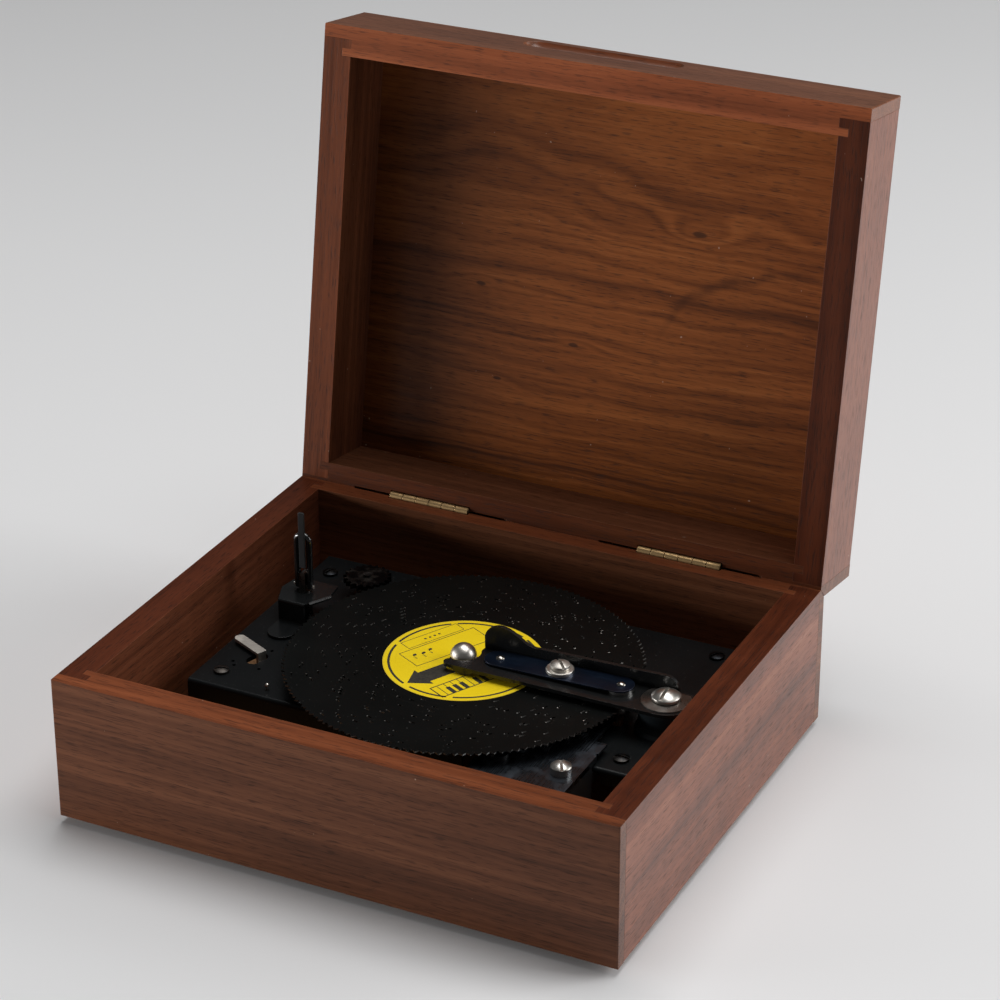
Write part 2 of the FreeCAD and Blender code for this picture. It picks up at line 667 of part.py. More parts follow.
post = revolve([(0, bed_bot), (4.0, bed_bot), (4.0, bed_top), (9.8, bed_top), (9.6, bed_top + 0.8),
                (8.9, bed_top + 2.0), (8.5, bed_top + 3.6), (8.5, web_z - 0.9), (7.7, web_z - 0.1),
                (0, web_z - 0.1)], pivot_u, 0)
post = post.cut(mcyl(2.5, web_z - 7, web_z + 1, pivot_u, 0))
post = post.cut(mcyl(2.0, bed_bot - 1, bed_bot + 4, pivot_u, 0))
save("arm_post", whole(post))
post_bolt = slotted(4.6, 1.6, 2.0, 3.6, 0.5, 1.0, 1.0)
support_screws.append(placed(post_bolt, pivot_u, 0, bed_bot, 0, True))
save("support_screws", Part.makeCompound(support_screws))

cup = 0.35
dish_h = 0.9
dish_r = 7.8
dish = revolve([(2.6, web_top + dish_h - cup), (dish_r, web_top + 0.01), (dish_r, web_top + cup),
                (2.6, web_top + dish_h)], pivot_u, 0)
dish = dish.cut(mbox(pivot_u - 9, pivot_u + 9, arm_back - web_t - 0.1, 12, web_top - 1, web_top + 3))
save("arm_spring_washer", dish)
pivot_screw = slotted(4.6, 0.9, 2.5, web_top + dish_h - (web_z - 6.5), 1.9, 1.1, 1.6)
save("arm_pivot_screw", placed(pivot_screw, pivot_u, 0, web_top + dish_h, 89))

# ---- blade spring, roller hangers and rollers ----
tilt = 1.3
blade_u0 = 7.7
blade_len = 50.5
blade_r = 4.75
blade_low = web_top + 0.25
blade_t = 0.5


def blade_z(u):
    return blade_low + (u - blade_u0) * math.tan(math.radians(tilt))


blade = slot_shape(blade_u0 + blade_r, 0, blade_u0 + blade_len - blade_r, 0, blade_r,
                   blade_low, blade_low + blade_t)
blade.rotate(at(blade_u0, 0, blade_low), V(0, -1, 0), tilt)
blade = drilled(blade, rivet_r, *[(u, 0) for u in pin_at])
save("blade_spring", whole(drilled(blade, blade_screw_r, (screw_u, 0))))
spacer_h = blade_z(pin_at[1] - 4.0) - web_top - 0.01
save("blade_spacer", drilled(mcyl(4.0, web_top, web_top + spacer_h, pin_at[1], 0), rivet_r, (pin_at[1], 0)))
washer_z = blade_z(screw_u + 4.4) + blade_t + 0.01
washer_t = 1.1
washer = cyl(4.4, 0, washer_t).cut(cyl(blade_screw_r, -1, 3))
washer = fillet_where(washer, 0.3, lambda c, e: c.z > 1 and e.Length > 20)
save("blade_washer", placed(washer, screw_u, 0, washer_z))
mid_screw = slotted(3.1, 1.4, blade_screw_r, washer_z + washer_t - (web_z + 0.25), 0.9, 0.9, 1.3)
save("blade_screw", placed(mid_screw, screw_u, 0, washer_z + washer_t, 135))

axle_z = web_z - 0.7
axle_r = 0.4
roller_r = 1.05
hangers = []
for u in pin_at:
    top = blade_z(u + 1.4) + blade_t + 0.02
    block = mbox(u - 1.5, u + 1.5, -1.5, 1.5, disc_top + 0.25, web_z - 0.05)
    rivet = turned([(rivet_r, web_z - 0.5), (rivet_r, top), (1.4, top), (1.4, top + 0.15)], 0.65)
    block = block.fuse(placed(rivet, u, 0, 0)).cut(xcyl(axle_r, spin_x, spin_x + 62, spin_y, axle_z))
    hangers.append(whole(block.removeSplitter()))
save("roller_hangers", Part.makeCompound(hangers))
save("roller_axle", xcyl(axle_r, spin_x + pin_at[0] - 1.9, spin_x + pin_at[1] + 1.9, spin_y, axle_z))
rollers = []
for u, w in roller_at:
    r = xcyl(roller_r, spin_x + u - w, spin_x + u + w, spin_y, axle_z)
    rollers.append(r.cut(xcyl(axle_r + 0.05, spin_x, spin_x + 62, spin_y, axle_z)))
save("pressure_rollers", Part.makeCompound(rollers))

# ---- edge guide over the rim, also the winding arbor's bearing ----
gu0 = -71.0
gu1 = -61.6
gv = 7.4
g_bot = disc_top + 0.5
g_t = 1.0
top = prism([(gu0, gv), (gu1, gv), (-56.8, 16.6), (-57.6, 23.4), (-72.7, 23.4), (-74.0, 15.3)],
            g_bot, g_bot + g_t)
guide = top.fuse(mbox(gu0, gu1, gv, gv + g_t, bed_top, g_bot + g_t))
tab_r = (gu1 - gu0) / 2.0
guide = guide.fuse(mbox(gu0, gu1, gv - 6.2, gv + g_t, bed_top, bed_top + g_t))
guide = guide.fuse(mcyl(tab_r, bed_top, bed_top + g_t, (gu0 + gu1) / 2.0, gv - 6.2))
curl = 1.5
ea = math.atan2(16.6 - gv, -56.8 - gu1)
prof = []
for r, flip in ((curl, 1), (curl + g_t, -1)):
    seg = [V(r * math.sin(t), 0, g_bot + g_t + curl - r * math.cos(t)) for t in (0, 0.62, 1.24)]
    prof.append(seg)
lip_edges = [Part.Arc(*prof[0]).toShape(), Part.makeLine(prof[0][2], prof[1][2]),
             Part.Arc(*prof[1]).toShape(), Part.makeLine(prof[1][0], prof[0][0])]
curl_face = Part.Face(Part.Wire(Part.__sortEdges__(lip_edges)))
curl_lip = curl_face.extrude(V(0, 8.6, 0))
curl_lip.rotate(V(0, 0, 0), V(0, 0, 1), math.degrees(ea) - 90)
curl_lip.translate(at(*polar(gu1, gv, 1.0, ea)))
guide = guide.fuse(curl_lip).removeSplitter()
guide = fillet_where(guide, 0.8, lambda c, e: abs(c.z - g_bot - g_t) < 0.01 and abs(c.y - spin_y - gv) < 0.01
                     and e.Length > 8)
guide = drilled(guide, winding_r + bush_play, (barrel_u, barrel_v))
save("edge_guide", whole(guide))

# ---- spring barrel ----
bar_r = 16.0
bar_z0 = foot_h + 10.0
bar_z1 = foot_h + 24.0
barrel = mcyl(bar_r - 0.9, bar_z0 + 1.2, bar_z1 - 1.5, barrel_u, barrel_v)
barrel = barrel.cut(mcyl(bar_r - 1.8, bar_z0, bar_z1 - 1.5, barrel_u, barrel_v))
barrel_rim = gear_points(barrel_u, barrel_v, z_barrel, m_main, phase_barrel)
barrel = barrel.fuse(prism(barrel_rim, bar_z1 - 1.5, bar_z1))
barrel = drilled(barrel, winding_r + bush_play, (barrel_u, barrel_v)).removeSplitter()
save("spring_barrel", whole(barrel))
cover = mcyl(bar_r - 0.9, bar_z0, bar_z0 + 1.2, barrel_u, barrel_v)
save("barrel_cover", drilled(cover, winding_r + bush_play, (barrel_u, barrel_v)))
turns = 7.0
coil_a = []
coil_b = []
n_coil = int(turns * 12)
for i in range(n_coil + 1):
    t = 2 * math.pi * turns * i / n_coil
    r = 3.6 + (bar_r - 2.5 - 3.6) * i / n_coil
    coil_a.append(at(*polar(barrel_u, barrel_v, r, t), bar_z0 + 1.9))
    coil_b.append(at(*polar(barrel_u, barrel_v, r + 0.35, t), bar_z0 + 1.9))
curve_a = Part.BSplineCurve()
curve_a.interpolate(coil_a)
curve_b = Part.BSplineCurve()
curve_b.interpolate(coil_b)
coil = Part.Face(Part.Wire([curve_a.toShape(), Part.makeLine(coil_a[-1], coil_b[-1]), curve_b.toShape(),
                            Part.makeLine(coil_b[0], coil_a[0])]))
save("mainspring", coil.extrude(V(0, 0, bar_z1 - bar_z0 - 4.2)))

# ---- winding arbor, ratchet, click ----
key_pin_z = g_bot + g_t + 1.7
stud_w = 2.3
stud_d = 3.0
stud_top = foot_h + 47.4
arbor = mcyl(1.5, plate_z + 0.2, plate_top + 0.3, barrel_u, barrel_v)
arbor = arbor.fuse(mcyl(winding_r, plate_top + 0.3, g_bot + g_t + 0.3, barrel_u, barrel_v))
arbor = arbor.fuse(mbox(barrel_u - stud_w / 2, barrel_u + stud_w / 2, barrel_v - stud_d / 2,
                        barrel_v + stud_d / 2, g_bot + g_t, stud_top - stud_w / 2))
arch_at = at(barrel_u, barrel_v - stud_d / 2, stud_top - stud_w / 2)
arch = Part.makeCylinder(stud_w / 2, stud_d, arch_at, V(0, 1, 0))
arbor = arbor.fuse(arch).removeSplitter()
arbor = arbor.cut(Part.makeCylinder(0.66, 20, at(barrel_u - 10, barrel_v, key_pin_z), V(1, 0, 0)))
save("winding_arbor", whole(arbor))

rat_r = 8.0
rat_n = 16
rat_z0 = foot_h + 28.6
rat_z1 = rat_z0 + 1.2
pts = []
for k in range(rat_n):
    a = 2 * math.pi * k / rat_n
    pts.append(polar(barrel_u, barrel_v, rat_r, a))
    pts.append(polar(barrel_u, barrel_v, rat_r - 1.3, a + 0.02))
save("ratchet_wheel", drilled(prism(pts, rat_z0, rat_z1), winding_r, (barrel_u, barrel_v)))
click_u = barrel_u + 2.0
click_v = barrel_v + 13.5
tip_a = math.radians(101.25)
tip_u, tip_v2 = polar(barrel_u, barrel_v, rat_r + 0.15, tip_a)
side = math.atan2(click_v - tip_v2, click_u - tip_u)
c1 = polar(click_u, click_v, 1.7, side + math.pi / 2)
c2 = polar(click_u, click_v, 1.7, side - math.pi / 2)
click = prism([(tip_u, tip_v2), c2, c1], rat_z0, rat_z1).fuse(mcyl(2.2, rat_z0, rat_z1, click_u, click_v))
save("click", whole(drilled(click, 1.05, (click_u, click_v)).removeSplitter()))
click_stud = mcyl(1.0, rat_z0 - 0.3, bed_bot, click_u, click_v)
click_stud = click_stud.fuse(mcyl(1.8, rat_z0 - 1.3, rat_z0 - 0.3, click_u, click_v)).removeSplitter()

# ---- folding winding key ----
wire_r = 1.05
leg = 2.25
strip_x0 = -0.6
strip_x1 = 1.5
strip_t = 0.8
arch_z = foot_h + 61.5 - wire_r - leg
bow = None
for s in (-1, 1):
    p = mcyl(wire_r, key_pin_z, arch_z, barrel_u + s * leg, barrel_v)
    p = p.fuse(Part.makeSphere(wire_r + 0.02, at(barrel_u + s * leg, barrel_v, key_pin_z)))
    bow = p if bow is None else bow.fuse(p)
ring = Part.makeTorus(leg, wire_r, at(barrel_u, barrel_v, arch_z), V(0, 1, 0))
ring = ring.common(mbox(barrel_u - 6, barrel_u + 6, barrel_v - 3, barrel_v + 3, arch_z, arch_z + 6))
bow = bow.fuse(ring).removeSplitter()
bow = bow.cut(Part.makeCylinder(0.6, 20, at(barrel_u - 10, barrel_v, key_pin_z), V(1, 0, 0)))
save("key_bow", whole(bow))
strip_top = foot_h + 69.3
strip = mbox(barrel_u + strip_x0, barrel_u + strip_x1, barrel_v - wire_r - strip_t, barrel_v - wire_r,
             stud_top + 2.0, strip_top)
strip = fillet_where(strip, 0.5, lambda c, e: abs(c.z - strip_top) < 0.01 and e.Length < 1.0)
save("key_strip", strip)
pin_half = leg + wire_r + 0.3
cross_pin = Part.makeCylinder(0.6, 2 * pin_half, at(barrel_u - pin_half, barrel_v, key_pin_z), V(1, 0, 0))
save("key_pin", cross_pin)

# ---- drive arbor and rim sprocket ----
drive = mcyl(1.0, plate_z + 0.2, plate_top + 0.3, drive_u, drive_v)
drive = drive.fuse(mcyl(drive_r, plate_top + 0.3, disc_z - 1.0, drive_u, drive_v))
drive = drive.fuse(mcyl(1.4, disc_z - 1.0, disc_top + 1.2, drive_u, drive_v))
drive_rim = gear_points(drive_u, drive_v, z_drive, m_main, phase_drive)
drive = drive.fuse(prism(drive_rim, bar_z1 - 2.2, bar_z1 + 0.4))
save("drive_arbor", whole(drive.removeSplitter()))
teeth = []
for k in range(z_sprocket):
    a = sprocket_a + math.pi + 2 * math.pi * k / z_sprocket
    for r, w in ((sprocket_r - 0.8, -0.62), (sprocket_r + 0.4, -0.09), (sprocket_r + 0.4, 0.09),
                 (sprocket_r - 0.8, 0.62)):
        teeth.append(polar(drive_u, drive_v, r, a + w / r))
sprocket = prism(teeth, disc_z - 0.7, disc_z + 1.1)
sprocket = sprocket.fuse(mcyl(3.2, disc_z - 1.0, disc_z + 1.1, drive_u, drive_v))
save("rim_sprocket", whole(drilled(sprocket, 1.4, (drive_u, drive_v)).removeSplitter()))

# ---- governor train ----
mid_z = foot_h + 26.8
arb = mcyl(pivot_r, plate_z + 0.2, bed_bot + 0.9, mid_u, mid_v)
arb = arb.fuse(mcyl(2 * pivot_r, plate_top + 0.3, bed_bot - 0.3, mid_u, mid_v))
arb = arb.fuse(prism(gear_points(mid_u, mid_v, z_mid, m_main, phase_mid, 0.82), bar_z1 - 2.2, bar_z1 + 0.4))
wheel = prism(gear_points(mid_u, mid_v, z_mid_wheel, m_mid, pt), mid_z, mid_z + 1.2)
for k in range(5):
    cu, cv = polar(mid_u, mid_v, 6.6, pt + 2 * math.pi * (k + 0.5) / 5)
    wheel = wheel.cut(mcyl(2.5, mid_z - 1, mid_z + 2, cu, cv))
save("second_wheel", whole(arb.fuse(wheel).removeSplitter()))
arb = mcyl(pivot_r, plate_z + 0.2, bed_bot + 0.9, third_u, third_v)
arb = arb.fuse(mcyl(2 * pivot_r, plate_top + 0.3, bed_bot - 0.3, third_u, third_v))
third_rim = gear_points(third_u, third_v, z_third, m_mid, phase_third, 0.82)
arb = arb.fuse(prism(third_rim, mid_z - 0.4, mid_z + 1.6))
phase_ww = -math.pi / 2 + math.pi / z_worm_wheel
wheel = prism(gear_points(third_u, third_v, z_worm_wheel, m_mid, phase_ww, 0.85), worm_z - 0.6, worm_z + 0.6)
wheel = wheel.fuse(mcyl(2.6, worm_z - 1.2, worm_z + 1.2, third_u, third_v))
save("worm_wheel", whole(arb.fuse(wheel).removeSplitter()))

lead = math.pi * m_mid
thread_u0 = third_u - lead * 2.25
hw = 0.42
steps_turn = 12
rings = []
for i in range(int(4.5 * steps_turn) + 1):
    a = 2 * math.pi * i / steps_turn
    xm = spin_x + thread_u0 + lead * i / steps_turn
    row = []
    for r, dx in ((0.85, -hw), (2.0, -0.14), (2.0, 0.14), (0.85, hw)):
        row.append(V(xm + dx, spin_y + worm_v + r * math.sin(a), worm_z - r * math.cos(a)))
    rings.append(Part.makePolygon(row + [row[0]]))
thread = Part.makeLoft(rings, True, True)
wx0 = spin_x - 76.2
shaft = xcyl(0.6, wx0, spin_x - 31.2, spin_y + worm_v, worm_z)
shaft = shaft.fuse(xcyl(1.0, spin_x - 74.6, spin_x - 32.8, spin_y + worm_v, worm_z))
shaft = shaft.fuse(xcyl(2.0, spin_x - 73.0, spin_x - 70.5, spin_y + worm_v, worm_z))
shaft = shaft.fuse(thread)
save("worm_shaft", whole(shaft.removeSplitter()))
fly = xcyl(1.9, spin_x - 66.0, spin_x - 57.8, spin_y + worm_v, worm_z)
for s in (-1, 1):
    za, zb = sorted((worm_z + s * 1.4, worm_z + s * 7.0))
    fly = fly.fuse(box(spin_x - 65.6, spin_x - 58.2, spin_y + worm_v - 0.2, spin_y + worm_v + 0.2, za, zb))
fly = fly.cut(xcyl(1.0, wx0, spin_x - 31.0, spin_y + worm_v, worm_z))
save("governor_fly", whole(fly.removeSplitter()))
yoke = mbox(-76.4, -31.0, worm_v - 2.1, worm_v + 2.1, plate_top, plate_top + 1.5)
for u0, u1 in ((-76.4, -74.9), (-32.5, -31.0)):
    yoke = yoke.fuse(mbox(u0, u1, worm_v - 2.1, worm_v + 2.1, plate_top, worm_z + 3.0))
yoke = yoke.removeSplitter().cut(xcyl(0.65, wx0 - 2, spin_x - 30, spin_y + worm_v, worm_z))
save("governor_bracket", whole(yoke))

# ---- stop lever ----
lev_top = bed_top + 2.0
blade_half = 1.75
bar_w = 3.0
tab_a = math.radians(154.5)
tip_lu, tip_lv = polar(leg_u, leg_v, 11.6, tab_a)
lever = slot_shape(tip_lu, tip_lv, leg_u, leg_v, blade_half, lev_top - 1.0, lev_top)
bar = Part.makeBox(1.2, bar_w, lev_top - (bed_bot - 1.6), V(-0.6, -bar_w / 2, bed_bot - 1.6))
bar.rotate(V(0, 0, 0), V(0, 0, 1), math.degrees(tab_a))
bar.translate(at(leg_u, leg_v, 0))
trim = Part.makeBox(6, 8, 4, V(-6.6, -4, lev_top - 2))
trim.rotate(V(0, 0, 0), V(0, 0, 1), math.degrees(tab_a))
trim.translate(at(leg_u, leg_v, 0))
lever = lever.cut(trim).fuse(bar)
lever = lever.fuse(slot_shape(leg_u, leg_v, lever_pu, lever_pv, 1.8, bed_bot - 2.8, bed_bot - 1.6))
lever = lever.fuse(mcyl(3.2, bed_bot - 2.8, bed_bot - 1.6, lever_pu, lever_pv))
down = Part.makeBox(1.2, 2.4, bed_bot - 1.6 - (worm_z - 1.2), V(-0.6, -1.2, worm_z - 1.2))
down.rotate(V(0, 0, 0), V(0, 0, 1), math.degrees(tab_a))
down.translate(at(leg_u, leg_v, 0))
lever = lever.fuse(down)
lever = lever.fuse(slot_shape(leg_u, leg_v, -72.0, -18.7 + (worm_v + 25.8), 0.6, worm_z - 1.2, worm_z + 1.2))
save("stop_lever", whole(drilled(lever, 1.25, (lever_pu, lever_pv)).removeSplitter()))
stud = mcyl(1.2, bed_bot - 3.0, bed_top, lever_pu, lever_pv)
stud = stud.fuse(mcyl(2.2, bed_bot - 4.0, bed_bot - 2.9, lever_pu, lever_pv))
stud = stud.fuse(mcyl(2.2, bed_bot - 1.5, bed_bot, lever_pu, lever_pv))
save("pivot_studs", Part.makeCompound([whole(click_stud), whole(stud.removeSplitter())]))
hook = mcyl(hook_r, bed_bot, bed_top + 1.2, hook_u, hook_v)
hook = hook.fuse(Part.makeSphere(hook_r + 0.3, at(hook_u, hook_v, bed_top + 1.4)))
save("hook_pin", whole(hook.removeSplitter()))
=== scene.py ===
import json
import math

import bmesh
import bpy
from mathutils import Matrix, Vector


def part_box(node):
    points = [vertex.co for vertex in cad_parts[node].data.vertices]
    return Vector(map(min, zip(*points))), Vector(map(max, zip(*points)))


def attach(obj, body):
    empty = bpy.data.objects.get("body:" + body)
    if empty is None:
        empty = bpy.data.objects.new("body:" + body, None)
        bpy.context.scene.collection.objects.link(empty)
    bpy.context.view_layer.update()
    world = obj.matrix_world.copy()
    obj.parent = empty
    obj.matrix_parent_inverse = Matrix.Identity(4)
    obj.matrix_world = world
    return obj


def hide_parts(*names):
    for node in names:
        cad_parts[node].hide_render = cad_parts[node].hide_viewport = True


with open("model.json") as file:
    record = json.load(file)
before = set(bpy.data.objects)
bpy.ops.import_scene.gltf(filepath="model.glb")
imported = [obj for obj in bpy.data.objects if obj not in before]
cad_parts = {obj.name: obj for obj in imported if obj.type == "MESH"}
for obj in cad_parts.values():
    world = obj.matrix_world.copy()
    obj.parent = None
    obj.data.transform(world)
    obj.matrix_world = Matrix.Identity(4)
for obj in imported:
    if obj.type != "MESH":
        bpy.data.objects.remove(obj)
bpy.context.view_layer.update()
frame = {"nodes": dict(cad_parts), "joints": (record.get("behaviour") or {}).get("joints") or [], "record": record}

nodes = frame["nodes"]
record = frame["record"]
joints = {j["name"]: j for j in frame["joints"]}
body_of = {n: body for body, members in record["behaviour"]["bodies"].items() for n in members}
slot_of = {s["node"]: s["material_slot"] for s in record["subparts"]}

MM = 0.001
HINGE = Vector(joints["lid_hinge"]["pos_m"])
LID_TURN = math.radians(joints["lid_hinge"]["range_deg"][1])
SPIN = Vector(joints["disc_spin"]["pos_m"])
PIVOT = Vector(joints["arm_swing"]["pos_m"])
LABEL_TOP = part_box("disc_label")[1].z


# ---- material building ----
class Finish:
    """A material whose nodes are written as expressions. place is the row frame, in metres."""

    def __init__(self, name):
        self.mat = bpy.data.materials.new(name)
        self.mat.use_nodes = True
        self.tree = self.mat.node_tree
        self.shader = self.tree.nodes["Principled BSDF"]
        self.place = self.node("ShaderNodeTexCoord").outputs["Object"]

    def node(self, kind, **settings):
        made = self.tree.nodes.new(kind)
        for key, value in settings.items():
            setattr(made, key, value)
        return made

    def put(self, socket, value):
        if isinstance(value, bpy.types.NodeSocket):
            self.tree.links.new(value, socket)
        elif value is not None:
            socket.default_value = value

    def set(self, **values):
        for key, value in values.items():
            self.put(self.shader.inputs[key.replace("_", " ")], value)

    def math(self, operation, a, b=None, c=None, clamp=False):
        made = self.node("ShaderNodeMath", operation=operation, use_clamp=clamp)
        for socket, value in zip(made.inputs, (a, b, c)):
            self.put(socket, value)
        return made.outputs[0]

    def vector(self, operation, a, b=None, out=0):
        made = self.node("ShaderNodeVectorMath", operation=operation)
        self.put(made.inputs[0], a)
        self.put(made.inputs[1], b)
        return made.outputs[out]

    def split(self, vector):
        made = self.node("ShaderNodeSeparateXYZ")
        self.put(made.inputs[0], vector)
        return made.outputs[0], made.outputs[1], made.outputs[2]

    def join(self, x, y, z):
        made = self.node("ShaderNodeCombineXYZ")
        for socket, value in zip(made.inputs, (x, y, z)):
            self.put(socket, value)
        return made.outputs[0]

    def noise(self, vector, scale=1.0, detail=2.0, rough=0.5, bend=0.0):
        made = self.node("ShaderNodeTexNoise", noise_dimensions="3D")
        self.put(made.inputs["Vector"], vector)
        self.put(made.inputs["Scale"], scale)
        self.put(made.inputs["Detail"], detail)
        self.put(made.inputs["Roughness"], rough)
        self.put(made.inputs["Distortion"], bend)
        return made.outputs[0]

    def line_noise(self, value, scale, detail=2.0, rough=0.5):
        made = self.node("ShaderNodeTexNoise", noise_dimensions="1D")
        self.put(made.inputs["W"], value)
        self.put(made.inputs["Scale"], scale)
        self.put(made.inputs["Detail"], detail)
        self.put(made.inputs["Roughness"], rough)
        return made.outputs[0]

    def range(self, value, low, high, to_low=0.0, to_high=1.0, smooth=False):
        kind = "SMOOTHSTEP" if smooth else "LINEAR"
        made = self.node("ShaderNodeMapRange", interpolation_type=kind)
        for socket, item in zip(made.inputs, (value, low, high, to_low, to_high)):
            self.put(socket, item)
        return made.outputs[0]

    def ramp(self, value, stops):
        made = self.node("ShaderNodeValToRGB")
        ramp = made.color_ramp
        while len(ramp.elements) < len(stops):
            ramp.elements.new(0.5)
        for element, (at, colour) in zip(ramp.elements, stops):
            element.position = at
            element.color = (*colour, 1)
        self.put(made.inputs[0], value)
        return made.outputs[0]

    def mix(self, share, a, b, how="MIX"):
        made = self.node("ShaderNodeMix", data_type="RGBA", blend_type=how)
        self.put(made.inputs["Factor"], share)
        for socket, value in ((made.inputs[6], a), (made.inputs[7], b)):
            self.put(socket, (*value, 1) if isinstance(value, tuple) else value)
        return made.outputs[2]

    def tint(self, colour, factor):
        return self.mix(1.0, colour, self.join(factor, factor, factor), "MULTIPLY")

    def bump(self, height, depth, strength=1.0, under=None):
        made = self.node("ShaderNodeBump")
        self.put(made.inputs["Strength"], strength)
        self.put(made.inputs["Distance"], depth)
        self.put(made.inputs["Height"], height)
        self.put(made.inputs["Normal"], under)
        return made.outputs[0]

    def stretched(self, along, across, through, long_scale, cross_scale):
        """Coordinates drawn out along the grain."""
        return self.join(self.math("MULTIPLY", along, long_scale),
                         self.math("MULTIPLY", across, cross_scale),
                         self.math("MULTIPLY", through, cross_scale))

    def length_of(self, x, y):
        return self.math("SQRT", self.squares(x, y))

    def squares(self, x, y):
        return self.math("ADD", self.math("MULTIPLY", x, x), self.math("MULTIPLY", y, y))

    def hill(self, squared):
        """1 at the middle, falling off as a bell."""
        return self.math("POWER", 2.718, self.math("MULTIPLY", squared, -1.0))

    def edges(self, radius, low=0.02, high=0.35):
        """1 on outer edges, fading to 0 on flat ground."""
        bevel = self.node("ShaderNodeBevel", samples=4)
        self.put(bevel.inputs["Radius"], radius)
        flat = self.node("ShaderNodeNewGeometry").outputs["Normal"]
        same = self.vector("DOT_PRODUCT", bevel.outputs[0], flat, out=1)
        return self.range(self.math("SUBTRACT", 1.0, same), low, high)


# ---- walnut ----
WALNUT = [(0.0, (0.035, 0.012, 0.006)), (0.30, (0.085, 0.030, 0.014)), (0.52, (0.145, 0.052, 0.024)),
          (0.74, (0.200, 0.076, 0.036)), (1.0, (0.280, 0.120, 0.060))]
ROSY = [(0.0, (0.060, 0.018, 0.010)), (0.30, (0.130, 0.040, 0.020)), (0.52, (0.220, 0.068, 0.032)),
        (0.74, (0.290, 0.095, 0.046)), (1.0, (0.360, 0.140, 0.078))]
FIGURED = [(0.0, (0.045, 0.012, 0.004)), (0.28, (0.120, 0.034, 0.009)), (0.50, (0.225, 0.064, 0.015)),
           (0.72, (0.320, 0.098, 0.024)), (1.0, (0.420, 0.150, 0.045))]


SHIFT_ALONG, SHIFT_ACROSS, SHIFT_THROUGH = 0.37, 0.0113, 0.0071  # metres per seed
KNOT_STRETCH = 2.6
PORE_DARK = (0.028, 0.011, 0.006)
KNOT_DARK = (0.028, 0.012, 0.007)
BOW_DARK = (0.045, 0.014, 0.006)
RUBBED = (0.30, 0.125, 0.060)
DUST = (0.55, 0.42, 0.33)
RIM_TINT = (1.25, 0.88, 0.64)
RIM_LACQUER, END_LACQUER = 0.03, 0.5
END_SHADE = 0.22


def grain_space(f, along, across, lid, seed):
    """The board's own coordinates, and where its rim and its end grain are.

    They run along the grain, across it and through its thickness. seed moves each board to its own
    part of the figure. The rim is the face that meets the other half of the case.
    """
    place = f.place
    if lid:
        turn = Matrix.Rotation(LID_TURN, 3, "X")
        shut = f.node("ShaderNodeMapping", vector_type="POINT")
        f.put(shut.inputs["Vector"], place)
        shut.inputs["Location"].default_value = HINGE - turn @ HINGE
        shut.inputs["Rotation"].default_value = (LID_TURN, 0, 0)
        place = shut.outputs[0]
    axes = f.split(place)
    through = ({0, 1, 2} - {along, across}).pop()
    a = f.math("ADD", axes[along], SHIFT_ALONG * seed)
    b = f.math("ADD", axes[across], SHIFT_ACROSS * seed)
    facing = f.node("ShaderNodeTexCoord").outputs["Normal"]
    if lid:
        lean = f.node("ShaderNodeMapping", vector_type="VECTOR")
        f.put(lean.inputs["Vector"], facing)
        lean.inputs["Rotation"].default_value = (LID_TURN, 0, 0)
        facing = lean.outputs[0]
    rim_side = f.math("MULTIPLY", f.split(facing)[across], -1.0 if lid else 1.0)
    edge = f.range(rim_side, 0.6, 0.95)
    end = f.range(f.math("ABSOLUTE", f.split(facing)[along]), 0.6, 0.95)
    return a, b, f.math("ADD", axes[through], SHIFT_THROUGH * seed), edge, end


def spread_from(f, a, b, seed, mid_a, mid_b, reach_a, reach_b):
    """Squared distance from a spot on the board, measured in the two reaches."""
    da = f.math("DIVIDE", f.math("SUBTRACT", a, mid_a + SHIFT_ALONG * seed), reach_a)
    db = f.math("DIVIDE", f.math("SUBTRACT", b, mid_b + SHIFT_ACROSS * seed), reach_b)
    return f.squares(da, db)


def dark_bow(f, a, b, seed, mid_a, mid_b, radius, from_a, to_a):
    """A dark streak in the figure that follows part of a circle."""
    da = f.math("SUBTRACT", a, mid_a + SHIFT_ALONG * seed)
    db = f.math("SUBTRACT", b, mid_b + SHIFT_ACROSS * seed)
    far = f.length_of(da, db)
    sway = f.math("SUBTRACT", f.noise(f.place, 45.0, 2.0), 0.5)
    off = f.math("ABSOLUTE", f.math("MULTIPLY_ADD", sway, 0.009, f.math("SUBTRACT", far, radius)))
    line = f.range(off, 0.0002, 0.0026, 0.55, 0.0, smooth=True)
    starts = f.range(da, from_a, from_a + 0.010)
    stops = f.range(da, to_a - 0.010, to_a, 1.0, 0.0)
    ends = f.math("MULTIPLY", starts, stops)
    ends = f.math("MULTIPLY", ends, f.range(db, -0.005, 0.005, 1.0, 0.0))
    patchy = f.range(f.noise(f.place, 160.0, 2.0), 0.3, 0.6, 0.35, 1.0)
    return f.math("MULTIPLY", f.math("MULTIPLY", line, ends), patchy)


